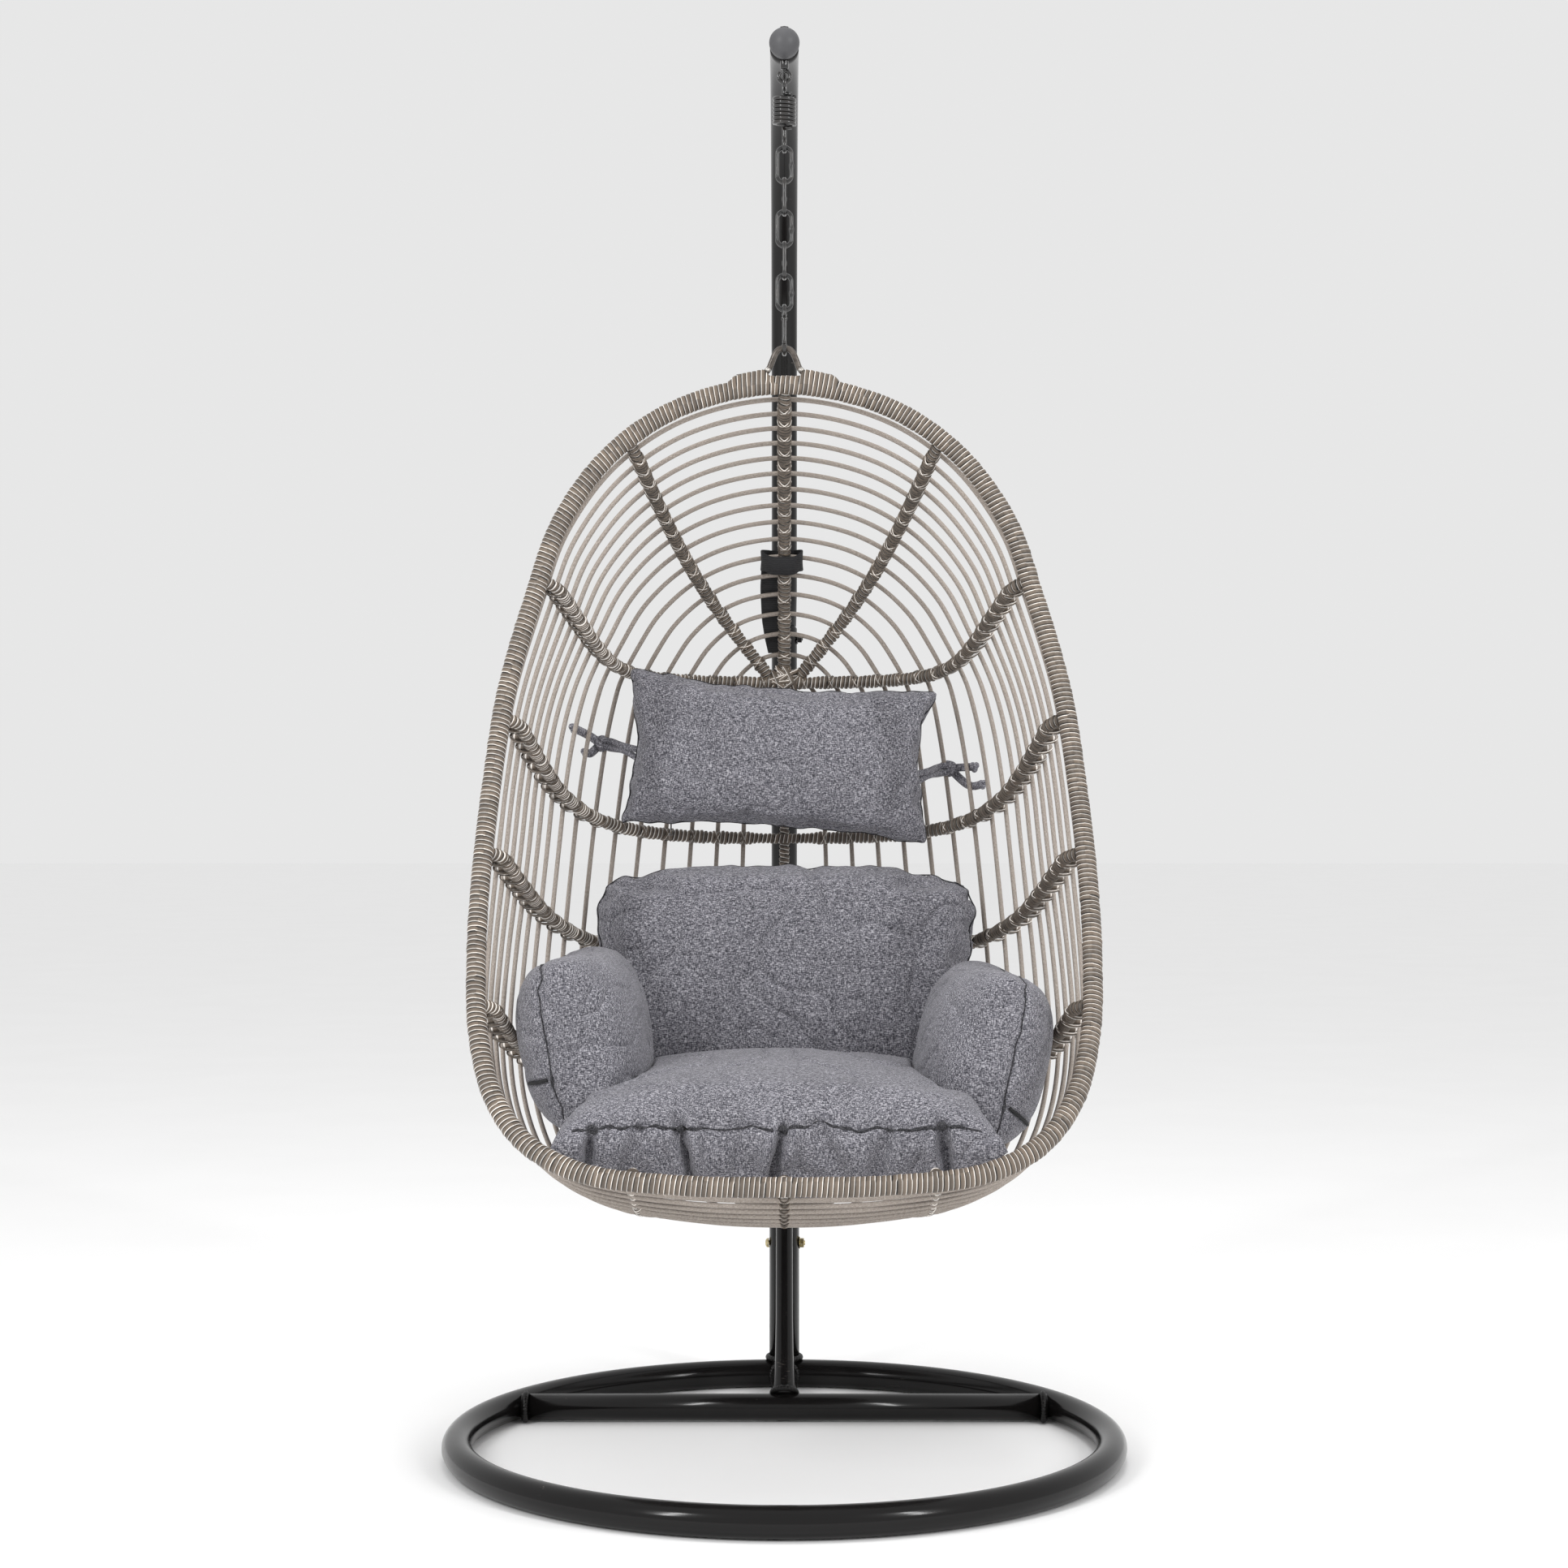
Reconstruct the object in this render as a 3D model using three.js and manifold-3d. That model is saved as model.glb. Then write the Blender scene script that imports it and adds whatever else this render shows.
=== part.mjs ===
// Hanging egg chair: a wrapped rod basket on a chain and spring, under an arched tube stand.
// Millimetres, +Z up. The sitter looks along -Y. The finished group is moved so that its
// origin is the centre of its footprint, on the ground.
import * as THREE from 'three';
import { mergeVertices } from 'three/addons/utils/BufferGeometryUtils.js';
import Module from 'manifold-3d';

const wasm = await Module();
wasm.setup();

// Clearances
const GAP = 0.4;

// Stand: a ring on the ground, a crossbar, and a mast that arches forward over the ring.
// All Y values are from the ring's centre.
const RING_RADIUS = 454;
const RING_TUBE = 21;
const TUBE_WALL = 2;
const DRAIN_HOLE = 3;
const CROSSBAR_Y = 210;
const CROSSBAR_TUBE = 19.5;
const STUB_TUBE = 23;
const MAST_TUBE = 20;
const SPIGOT_TUBE = MAST_TUBE - TUBE_WALL - GAP;
const MAST_LEAN = THREE.MathUtils.degToRad(4.4);
const ARCH_RADIUS = 560;
const ARM_Z = 1962;
const STUB_TOP_Z = 465;
const MAST_FOOT_Z = 190;
const MAST_JOINT_Z = 1185;
const SPIGOT_HALF = 70;
const STUB_BOLT_Z = 221;
const MAST_BOLT_Z = 1168;
const BRACE_TUBE = 13;
const BRACE_TOP_Z = 400;
const BOLT_SHANK = 4;

// Hanging line: everything under the arm hangs at this Y.
const HANG_Y = -20;
const ARM_TIP_Y = HANG_Y - 13;
const BALL_RADIUS = 21.5;
const HANGER_SHANK = 4;
const HOOK_Z = 1921;
const HOOK_RADIUS = 8;
const WIRE = 3;
const SPRING_LOOP = 8;
const COIL_TOP_Z = 1896;
const COIL_BOTTOM_Z = 1851;
const COIL_RADIUS = 14;
const COIL_TURNS = 6.5;
const CHAIN_TOP_Z = 1823.3;
const LINK_COUNT = 5;
const LINK_WIRE = 2.75;
const LINK_HALF_WIDTH = 10.25;
const LINK_LENGTH = 50.3;
const SNAP_HALF_WIDTH = 11;

// Basket: the rim's right half from top centre to bottom centre, as [x, z].
const RIM_OUTLINE = [
  [0, 1492], [140, 1463], [240, 1397], [311, 1299], [345, 1199], [381, 1064], [398, 931],
  [407, 800], [407, 702], [399, 612], [373, 532], [327, 478], [255, 445], [130, 431], [0, 429],
];
const RIM_TUBE = 12.5;
const RIM_TOP_Y = HANG_Y;
const RIM_REACH = 380;
const RIM_SWEEP = 2.1;
const LOOP_WIRE = 4.5;
const LOOP_TOP_Z = 1543;
// The spine is the line down the middle of the back that the rods run round, as [y, z].
const SPINE_OUTLINE = [
  [330, 1052], [336, 940], [337, 830], [334, 700], [318, 580], [275, 478], [200, 408], [110, 369], [20, 356],
];
const SPINE_USED = 0.91;
const HUB_Z = 1090;
const ROD_COUNT = 17;
const ROD_TUBE = 3.5;
const ROD_SPACES = 18.58;
const RIB_TUBE = 8;
const RIB_INSET = RIB_TUBE + ROD_TUBE + 3;
const SADDLE_INSET = 6;
const RIB_STATION = 34;
const ROD_STATIONS = 23;
const SEAT_RIB_X = 195;
// The diagonals leave the hub a little to each side; their planes rise with X and to the front.
const DIAGONAL = { start: 14, slope: 1.21, rise: 0.22 };
// The cross ribs lie in planes that rise towards the front: height at the back, and slope.
const CROSS_RIBS = [
  { height: HUB_Z, slope: 0.35 },
  { height: 858, slope: 0.41 },
  { height: 672, slope: 0.36 },
  { height: 432, slope: 0.37 },
];

// The group is moved so that its footprint is centred on the origin.
const FOOTPRINT_Y = (ARCH_RADIUS + MAST_TUBE - RING_RADIUS - RING_TUBE) / 2;

const chair = new THREE.Group();
chair.position.y = -FOOTPRINT_Y;

const FINISH = {
  frame: { color: 0x0b0b0c, roughness: 0.22, metalness: 0.7 },
  zinc: { color: 0xb59a4a, roughness: 0.35, metalness: 0.9 },
  cap: { color: 0x57575a, roughness: 0.55, metalness: 0.0 },
  chain: { color: 0x1a1a1c, roughness: 0.3, metalness: 0.8 },
  wrap: { color: 0x8c8378, roughness: 0.6, metalness: 0.0 },
  rod: { color: 0xc4b7a8, roughness: 0.65, metalness: 0.0 },
  loop: { color: 0x8a8178, roughness: 0.3, metalness: 0.6 },
  cushion: { color: 0x6a6f7c, roughness: 0.95, metalness: 0.0 },
  strap: { color: 0x141416, roughness: 0.85, metalness: 0.0 },
};

function addPart(name, geometry, finish) {
  const mesh = new THREE.Mesh(geometry, new THREE.MeshStandardMaterial(FINISH[finish]));
  mesh.name = name;
  chair.add(mesh);
  return mesh;
}

// ---------- solids: joining and cutting ----------

function toSolid(geometry) {
  const bare = geometry.clone();
  for (const key of Object.keys(bare.attributes)) {
    if (key !== 'position') bare.deleteAttribute(key);
  }
  const merged = mergeVertices(bare, 1e-3);
  const mesh = new wasm.Mesh({
    numProp: 3,
    vertProperties: new Float32Array(merged.attributes.position.array),
    triVerts: new Uint32Array(merged.index.array),
  });
  return new wasm.Manifold(mesh);
}

function toGeometry(solid) {
  const mesh = solid.getMesh();
  const geometry = new THREE.BufferGeometry();
  geometry.setAttribute('position', new THREE.BufferAttribute(new Float32Array(mesh.vertProperties), 3));
  geometry.setIndex(new THREE.BufferAttribute(new Uint32Array(mesh.triVerts), 1));
  return geometry;
}

// What is left of a piece after its neighbours' room is cut away. Loose slivers are dropped.
function cut(geometry, ...cutters) {
  let solid = toSolid(geometry);
  for (const cutter of cutters) solid = solid.subtract(toSolid(cutter));
  const bodies = solid.decompose();
  return toGeometry(bodies.reduce((most, body) => (body.volume() > most.volume() ? body : most)));
}

function join(geometry, ...others) {
  let solid = toSolid(geometry);
  for (const other of others) solid = solid.add(toSolid(other));
  return toGeometry(solid);
}

// ---------- tubes, rods and rounds ----------

function polygon(radius, sides, Path = THREE.Shape) {
  const points = [];
  for (let i = 0; i < sides; i += 1) {
    const angle = ((i + 0.5) / sides) * 2 * Math.PI;
    points.push(new THREE.Vector2(radius * Math.cos(angle), radius * Math.sin(angle)));
  }
  return new Path(points);
}

function rodAlong(curve, radius, sides, steps) {
  return new THREE.ExtrudeGeometry(polygon(radius, sides), { steps, extrudePath: curve });
}

function tubeAlong(curve, radius, sides, steps, wall = TUBE_WALL) {
  const section = polygon(radius, sides);
  section.holes.push(polygon(radius - wall, sides, THREE.Path));
  return new THREE.ExtrudeGeometry(section, { steps, extrudePath: curve });
}

function loopAlong(curve, radius, sides, steps) {
  return new THREE.TubeGeometry(curve, steps, radius, sides, true);
}

function line(...points) {
  return new THREE.LineCurve3(new THREE.Vector3(...points[0]), new THREE.Vector3(...points[1]));
}

function smooth(points, closed = false) {
  return new THREE.CatmullRomCurve3(points.map((p) => new THREE.Vector3(...p)), closed);
}

// A straight round bar along X, used for bolts and for the holes that they go through.
function barAlongX(radius, halfLength, y, z, sides = 12) {
  return rodAlong(line([-halfLength, y, z], [halfLength, y, z]), radius, sides, 1);
}

// ---------- stand ----------

function mastY(z) {
  const arcStartZ = ARM_Z - ARCH_RADIUS - ARCH_RADIUS * Math.sin(MAST_LEAN);
  return ARCH_RADIUS * Math.cos(MAST_LEAN) - (arcStartZ - z) * Math.tan(MAST_LEAN);
}

// The arch: up the leaning line, round the arc, and out along the level tip.
class ArchCurve extends THREE.Curve {
  constructor() {
    super();
    this.centreZ = ARM_Z - ARCH_RADIUS;
    this.arcStart = new THREE.Vector3(
      0, ARCH_RADIUS * Math.cos(MAST_LEAN), this.centreZ - ARCH_RADIUS * Math.sin(MAST_LEAN),
    );
    this.foot = new THREE.Vector3(0, mastY(MAST_JOINT_Z), MAST_JOINT_Z);
    const straight = this.arcStart.distanceTo(this.foot);
    const arc = ARCH_RADIUS * (Math.PI / 2 + MAST_LEAN);
    const total = straight + arc - ARM_TIP_Y;
    this.straightShare = straight / total;
    this.arcShare = arc / total;
  }

  getPoint(t, target = new THREE.Vector3()) {
    if (t <= this.straightShare) {
      return target.lerpVectors(this.foot, this.arcStart, t / this.straightShare);
    }
    const along = (t - this.straightShare) / this.arcShare;
    if (along <= 1) {
      const angle = -MAST_LEAN + along * (Math.PI / 2 + MAST_LEAN);
      return target.set(0, ARCH_RADIUS * Math.cos(angle), this.centreZ + ARCH_RADIUS * Math.sin(angle));
    }
    const tip = (t - this.straightShare - this.arcShare) / (1 - this.straightShare - this.arcShare);
    return target.set(0, ARM_TIP_Y * tip, ARM_Z);
  }
}

// A ring section with a flat at the bottom, so that the ring rests on a real flat face.
function ringSection(radius, sides = 10) {
  const points = [];
  const corner = radius / Math.cos(Math.PI / sides);
  for (let i = 0; i <= sides; i += 1) {
    const angle = 1.5 * Math.PI + ((i + 0.5) / sides) * 2 * Math.PI;
    points.push(new THREE.Vector2(RING_RADIUS + corner * Math.cos(angle), corner * Math.sin(angle)));
  }
  return points;
}

function ringSolid(radius, segments = 36) {
  const geometry = new THREE.LatheGeometry(ringSection(radius), segments);
  geometry.rotateX(Math.PI / 2);
  geometry.translate(0, 0, RING_TUBE);
  return geometry;
}

function buildStand() {
  const ringCutter = ringSolid(RING_TUBE + GAP);
  const drain = rodAlong(line([RING_RADIUS, 0, -5], [RING_RADIUS, 0, RING_TUBE]), DRAIN_HOLE, 8, 1);
  addPart('base_ring', cut(ringSolid(RING_TUBE), ringSolid(RING_TUBE - TUBE_WALL), drain), 'frame');

  const crossbarReach = Math.sqrt(RING_RADIUS ** 2 - CROSSBAR_Y ** 2);
  const crossbarLine = line([-crossbarReach, CROSSBAR_Y, RING_TUBE], [crossbarReach, CROSSBAR_Y, RING_TUBE]);
  addPart('crossbar', cut(tubeAlong(crossbarLine, CROSSBAR_TUBE, 12, 1), ringCutter), 'frame');
  const crossbarCutter = rodAlong(crossbarLine, CROSSBAR_TUBE + GAP, 12, 1);

  const spineLine = line([0, CROSSBAR_Y, RING_TUBE], [0, RING_RADIUS, RING_TUBE]);
  const spine = cut(tubeAlong(spineLine, CROSSBAR_TUBE, 12, 1), ringCutter, crossbarCutter);
  addPart('spine_tube', spine, 'frame');

  const stubBoltHole = barAlongX(BOLT_SHANK + GAP, 60, mastY(STUB_BOLT_Z), STUB_BOLT_Z, 8);
  const mastBoltHole = barAlongX(BOLT_SHANK + GAP, 60, mastY(MAST_BOLT_Z), MAST_BOLT_Z, 8);

  const stubLine = line([0, mastY(RING_TUBE), RING_TUBE], [0, mastY(STUB_TOP_Z), STUB_TOP_Z]);
  const stub = tubeAlong(stubLine, STUB_TUBE, 14, 1, TUBE_WALL);
  const spineCutter = rodAlong(spineLine, CROSSBAR_TUBE + GAP, 12, 1);
  addPart('mast_stub', cut(stub, ringCutter, spineCutter, stubBoltHole), 'frame');

  const middleLine = line([0, mastY(MAST_FOOT_Z), MAST_FOOT_Z], [0, mastY(MAST_JOINT_Z) - 0.05, MAST_JOINT_Z - GAP]);
  const middle = tubeAlong(middleLine, MAST_TUBE, 12, 1);
  addPart('mast_middle', cut(middle, stubBoltHole, mastBoltHole), 'frame');

  const spigotLow = MAST_JOINT_Z - SPIGOT_HALF;
  const spigotHigh = MAST_JOINT_Z + SPIGOT_HALF;
  const spigotLine = line([0, mastY(spigotLow), spigotLow], [0, mastY(spigotHigh), spigotHigh]);
  addPart('mast_spigot', cut(tubeAlong(spigotLine, SPIGOT_TUBE - GAP, 12, 1), mastBoltHole), 'frame');

  const hangerHole = rodAlong(
    line([0, HANG_Y, ARM_Z - 40], [0, HANG_Y, ARM_Z + 40]), HANGER_SHANK + 2 * GAP, 10, 1,
  );
  addPart('mast_arch', cut(tubeAlong(new ArchCurve(), MAST_TUBE, 12, 20), hangerHole), 'frame');

  const stubAxis = rodAlong(stubLine, STUB_TUBE + GAP, 14, 1);
  const braceLine = line([0, CROSSBAR_Y, RING_TUBE], [0, mastY(BRACE_TOP_Z), BRACE_TOP_Z]);
  addPart('brace', cut(rodAlong(braceLine, BRACE_TUBE, 10, 1), crossbarCutter, spineCutter, stubAxis), 'frame');

  addBolt('stub', STUB_BOLT_Z, STUB_TUBE);
  addBolt('mast', MAST_BOLT_Z, MAST_TUBE);
  addPart('end_cap', endCap(), 'cap');
}

// A through bolt along X: a round head on the left and a hexagon nut on the right.
function addBolt(name, z, tubeRadius) {
  const y = mastY(z);
  const face = tubeRadius + GAP;
  const head = rodAlong(line([-face - 5, y, z], [-face, y, z]), 7, 10, 1);
  const shank = rodAlong(line([-face - 1, y, z], [face + 9, y, z]), BOLT_SHANK, 8, 1);
  addPart(`${name}_bolt`, join(head, shank), 'zinc');
  const nut = rodAlong(line([face, y, z], [face + 7, y, z]), 7.5, 6, 1);
  const thread = rodAlong(line([face - 1, y, z], [face + 8, y, z]), BOLT_SHANK + GAP, 8, 1);
  addPart(`${name}_nut`, cut(nut, thread), 'zinc');
}

// The ball that closes the arm's tip, with a short plug inside the tube.
function endCap() {
  const faceRadius = MAST_TUBE - 1;
  const start = Math.asin(faceRadius / BALL_RADIUS);
  const plugRadius = MAST_TUBE - TUBE_WALL - GAP - 1;
  const points = [new THREE.Vector2(0, -8), new THREE.Vector2(plugRadius, -8), new THREE.Vector2(plugRadius, 0)];
  const rows = 6;
  for (let i = 0; i < rows; i += 1) {
    const angle = Math.PI - start - (i / rows) * (Math.PI - start);
    points.push(new THREE.Vector2(
      BALL_RADIUS * Math.sin(angle), BALL_RADIUS * (Math.cos(start) - Math.cos(Math.PI - angle)),
    ));
  }
  points.push(new THREE.Vector2(0, BALL_RADIUS * (1 + Math.cos(start))));
  const geometry = new THREE.LatheGeometry(points, 14);
  geometry.rotateX(Math.PI);
  geometry.translate(0, ARM_TIP_Y - GAP, ARM_Z);
  return geometry;
}

// ---------- hanging hardware ----------

// A ring of wire in the XZ or YZ plane with a straight stem, drawn in one stroke.
function eyeCurve(plane, centreZ, radius, stemEndZ) {
  const up = stemEndZ > centreZ ? 1 : -1;
  const points = [[0, HANG_Y, stemEndZ]];
  const count = 12;
  const sweep = THREE.MathUtils.degToRad(300);
  for (let i = 0; i <= count; i += 1) {
    const angle = (i / count) * sweep;
    const side = radius * Math.sin(angle);
    const z = centreZ + up * radius * Math.cos(angle);
    points.push(plane === 'xz' ? [side, HANG_Y, z] : [0, HANG_Y + side, z]);
  }
  return smooth(points);
}

class CoilCurve extends THREE.Curve {
  getPoint(t, target = new THREE.Vector3()) {
    const angle = t * COIL_TURNS * 2 * Math.PI;
    const z = THREE.MathUtils.lerp(COIL_TOP_Z - WIRE, COIL_BOTTOM_Z + WIRE, t);
    return target.set(COIL_RADIUS * Math.cos(angle), HANG_Y + COIL_RADIUS * Math.sin(angle), z);
  }
}

// A chain link: two straight sides and two round ends.
class LinkCurve extends THREE.Curve {
  constructor(plane, topZ) {
    super();
    this.plane = plane;
    this.centreZ = topZ - LINK_LENGTH / 2;
    this.halfStraight = LINK_LENGTH / 2 - LINK_HALF_WIDTH;
  }

  getPoint(t, target = new THREE.Vector3()) {
    const arc = Math.PI * LINK_HALF_WIDTH;
    const side = 2 * this.halfStraight;
    let along = (t % 1) * 2 * (arc + side);
    let across = 0;
    let up = 0;
    let sign = 1;
    if (along >= arc + side) {
      along -= arc + side;
      sign = -1;
    }
    if (along < arc) {
      const angle = along / LINK_HALF_WIDTH;
      across = LINK_HALF_WIDTH * Math.cos(angle);
      up = this.halfStraight + LINK_HALF_WIDTH * Math.sin(angle);
    } else {
      across = -LINK_HALF_WIDTH;
      up = this.halfStraight - (along - arc);
    }
    across *= sign;
    up *= sign;
    const z = this.centreZ + up;
    return this.plane === 'xz' ? target.set(across, HANG_Y, z) : target.set(0, HANG_Y + across, z);
  }
}

function buildHanger() {
  const shank = rodAlong(line([0, HANG_Y, ARM_Z + MAST_TUBE + 2], [0, HANG_Y, HOOK_Z + HOOK_RADIUS]), HANGER_SHANK, 10, 1);
  const hook = rodAlong(eyeCurve('xz', HOOK_Z, HOOK_RADIUS, HOOK_Z + HOOK_RADIUS + 4), WIRE, 6, 20);
  addPart('hanger_hook', join(shank, hook), 'chain');

  const nutBase = ARM_Z + MAST_TUBE + GAP;
  const nutProfile = [[HANGER_SHANK + GAP, 0], [13, 0], [12.5, 2], [8, 5], [HANGER_SHANK + GAP, 5]];
  const nutPoints = [...nutProfile, nutProfile[0]].map((p) => new THREE.Vector2(...p));
  const nut = new THREE.LatheGeometry(nutPoints, 16);
  nut.rotateX(Math.PI / 2);
  nut.translate(0, HANG_Y, nutBase);
  addPart('hanger_nut', nut, 'chain');

  const topLoopZ = HOOK_Z - HOOK_RADIUS + 2 * WIRE + GAP - SPRING_LOOP;
  addPart('spring_top_loop', rodAlong(eyeCurve('yz', topLoopZ, SPRING_LOOP, COIL_TOP_Z + GAP), WIRE, 6, 20), 'chain');
  addPart('spring_coil', rodAlong(new CoilCurve(), WIRE - GAP / 2, 5, 62), 'chain');
  const bottomLoopZ = CHAIN_TOP_Z - LINK_WIRE - WIRE - GAP + SPRING_LOOP;
  const bottomLoop = rodAlong(eyeCurve('yz', bottomLoopZ, SPRING_LOOP, COIL_BOTTOM_Z - GAP), WIRE, 6, 20);
  addPart('spring_bottom_loop', bottomLoop, 'chain');

  const pitch = LINK_LENGTH - 2 * LINK_WIRE - GAP;
  let topZ = CHAIN_TOP_Z;
  for (let i = 1; i <= LINK_COUNT; i += 1) {
    const plane = i % 2 === 1 ? 'xz' : 'yz';
    addPart(`chain_link_${i}`, loopAlong(new LinkCurve(plane, topZ), LINK_WIRE, 6, 20), 'chain');
    topZ -= pitch;
  }
  const lastWireZ = topZ + pitch - LINK_LENGTH;
  buildSnapHook(lastWireZ + LINK_WIRE + WIRE + GAP, LOOP_TOP_Z - LOOP_WIRE - WIRE - GAP);
}

// A sprung snap hook in the YZ plane: the body is open at the front, where the gate closes it.
function buildSnapHook(topZ, bottomZ) {
  const r = SNAP_HALF_WIDTH;
  const upper = topZ - r;
  const lower = bottomZ + r;
  const front = HANG_Y - r;
  const points = [[0, front, lower + 0.2]];
  for (let i = 1; i <= 6; i += 1) {
    const angle = Math.PI + (i / 6) * Math.PI;
    points.push([0, HANG_Y + r * Math.cos(angle), lower + r * Math.sin(angle)]);
  }
  points.push([0, HANG_Y + r, (upper + lower) / 2]);
  for (let i = 0; i <= 6; i += 1) {
    const angle = (i / 6) * Math.PI;
    points.push([0, HANG_Y + r * Math.cos(angle), upper + r * Math.sin(angle)]);
  }
  points.push([0, front, upper - 2]);
  addPart('snap_hook_body', rodAlong(smooth(points), WIRE, 6, 28), 'chain');
  const gate = line([0, front, lower + 1.2], [0, front, upper - 4.4]);
  addPart('snap_hook_gate', rodAlong(gate, WIRE - GAP, 8, 1), 'chain');
}

// ---------- basket shell ----------

function rimY(z) {
  const top = RIM_OUTLINE[0][1];
  const bottom = RIM_OUTLINE[RIM_OUTLINE.length - 1][1];
  return RIM_TOP_Y - RIM_REACH * THREE.MathUtils.clamp((top - z) / (top - bottom), 0, 1) ** RIM_SWEEP;
}

function rimPoints() {
  const right = RIM_OUTLINE.map(([x, z]) => [x, rimY(z), z]);
  const left = right.slice(1, -1).reverse().map(([x, y, z]) => [-x, y, z]);
  return [...right, ...left];
}

const rimCurve = smooth(rimPoints(), true);
const spineCurve = smooth(SPINE_OUTLINE.map(([y, z]) => [0, y, z]));

// Where along the spine the shell's lines start, for a place along the right half of the rim.
function spineShare(along) {
  const share = THREE.MathUtils.clamp((along - 0.36) / (0.86 - 0.36), 0, 1);
  return SPINE_USED * (0.75 * share + 0.25 * share * share * (3 - 2 * share));
}

// One line of the shell, from the spine out to the rim. along goes from 0 at the rim's top
// centre to 1 at its bottom centre, on the right.
function shellLine(along) {
  const rim = rimCurve.getPointAt(along / 2);
  const share = spineShare(along);
  const start = spineCurve.getPointAt(share);
  const tangent = spineCurve.getTangentAt(share);
  const outward = new THREE.Vector3(0, -tangent.z, tangent.y);
  const reach = rim.clone().sub(start);
  const depth = -reach.dot(outward);
  const lateral = reach.clone().addScaledVector(outward, depth);
  const width = lateral.length();
  lateral.normalize();
  const around = new THREE.Vector3(rim.x, 0, rim.z - 900).normalize();
  const rise = around.z;
  const flare = rise > 0 ? 0.17 + 0.41 * rise ** 2 : 0.17 - 0.67 * Math.abs(rise) ** 2.4;
  const leaving = around.clone().multiplyScalar(flare).add(new THREE.Vector3(0, -1, 0)).normalize();
  const fullness = 0.86 - (rise > 0 ? 0.53 * rise ** 4 : 0.43 * rise ** 2);
  const first = start.clone().addScaledVector(lateral, fullness * width);
  const second = rim.clone().addScaledVector(leaving, -(0.3 * reach.length() + 0.45 * Math.abs(depth)));
  return new THREE.CubicBezierCurve3(start, first, second, rim);
}

const LINE_COUNT = 96;
const shellLines = [];
for (let i = 0; i <= LINE_COUNT; i += 1) shellLines.push(shellLine(i / LINE_COUNT));

// A point of the shell. across goes from 0 at the spine to 1 at the rim. Between two stored
// lines the point is blended.
function shellPoint(along, across) {
  const place = THREE.MathUtils.clamp(along, 0, 1) * LINE_COUNT;
  const index = Math.min(Math.floor(place), LINE_COUNT - 1);
  const low = shellLines[index].getPointAt(across);
  const high = shellLines[index + 1].getPointAt(across);
  return low.lerp(high, place - index);
}

// The shell's unit normal, pointing into the basket.
function shellNormal(along, across) {
  const a = THREE.MathUtils.clamp(along, 0.005, 0.995);
  const w = THREE.MathUtils.clamp(across, 0.06, 0.97);
  const step = 0.012;
  const sideways = shellPoint(a + step, w).sub(shellPoint(a - step, w));
  const outwards = shellPoint(a, w + 0.02).sub(shellPoint(a, w - 0.02));
  const normal = new THREE.Vector3().crossVectors(sideways, outwards).normalize();
  return normal;
}

// How far a rib lies inside the shell: on the rim's own line at the rim, inside the rods elsewhere.
function ribInset(across, inset) {
  const fromRim = ((1 - across) * ROD_SPACES) / 0.65;
  const t = THREE.MathUtils.clamp(fromRim, 0, 1);
  return inset * t * t * (3 - 2 * t);
}

function insetPoint(along, across, inset) {
  const normal = shellNormal(along, across);
  if (along < 0.004 || along > 0.996) normal.x = 0;
  return shellPoint(along, across).addScaledVector(normal.normalize(), ribInset(across, inset));
}

function mirrored(points) {
  return points.map((p) => new THREE.Vector3(-p.x, p.y, p.z));
}

// A smooth curve whose tube has its stations at the points given, so that they can be close
// where it bends and far apart where it runs straight.
class StationCurve extends THREE.CatmullRomCurve3 {
  getPointAt(t, target) {
    return this.getPoint(t, target);
  }

  getTangentAt(t, target) {
    return this.getTangent(t, target);
  }

  get stations() {
    return this.closed ? this.points.length : this.points.length - 1;
  }
}

function curveThrough(points, closed = false) {
  return new StationCurve(points, closed);
}

function rodLoop(number) {
  const across = 1 - number / ROD_SPACES;
  const right = [];
  for (let i = 0; i <= ROD_STATIONS; i += 1) right.push(shellPoint(i / ROD_STATIONS, across));
  right[0].x = 0;
  right[ROD_STATIONS].x = 0;
  const left = mirrored(right.slice(1, -1)).reverse();
  return curveThrough([...right, ...left], true);
}

// The two places along the shell lines where a flat plane meets them, as insets of the shell.
function planeCrossing(along, height) {
  const count = 60;
  let last = height(shellPoint(along, 1));
  for (let i = count - 1; i >= 0; i -= 1) {
    const value = height(shellPoint(along, i / count));
    if (value * last < 0) {
      let inner = i / count;
      let outer = (i + 1) / count;
      for (let n = 0; n < 24; n += 1) {
        const middle = (inner + outer) / 2;
        if (height(shellPoint(along, middle)) * last < 0) inner = middle;
        else outer = middle;
      }
      return (inner + outer) / 2;
    }
    last = value;
  }
  return null;
}

// Where along the rim a plane crosses it, between two places.
function rimCrossing(height, low, high) {
  let a = low;
  let b = high;
  const sign = Math.sign(height(rimCurve.getPointAt(a / 2)));
  for (let n = 0; n < 40; n += 1) {
    const middle = (a + b) / 2;
    if (Math.sign(height(rimCurve.getPointAt(middle / 2))) === sign) a = middle;
    else b = middle;
  }
  return (a + b) / 2;
}

function crossRibHeight({ height, slope }) {
  const back = spineCurve.getPointAt(0).y;
  return (point) => point.z - height - slope * (back - point.y);
}

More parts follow.
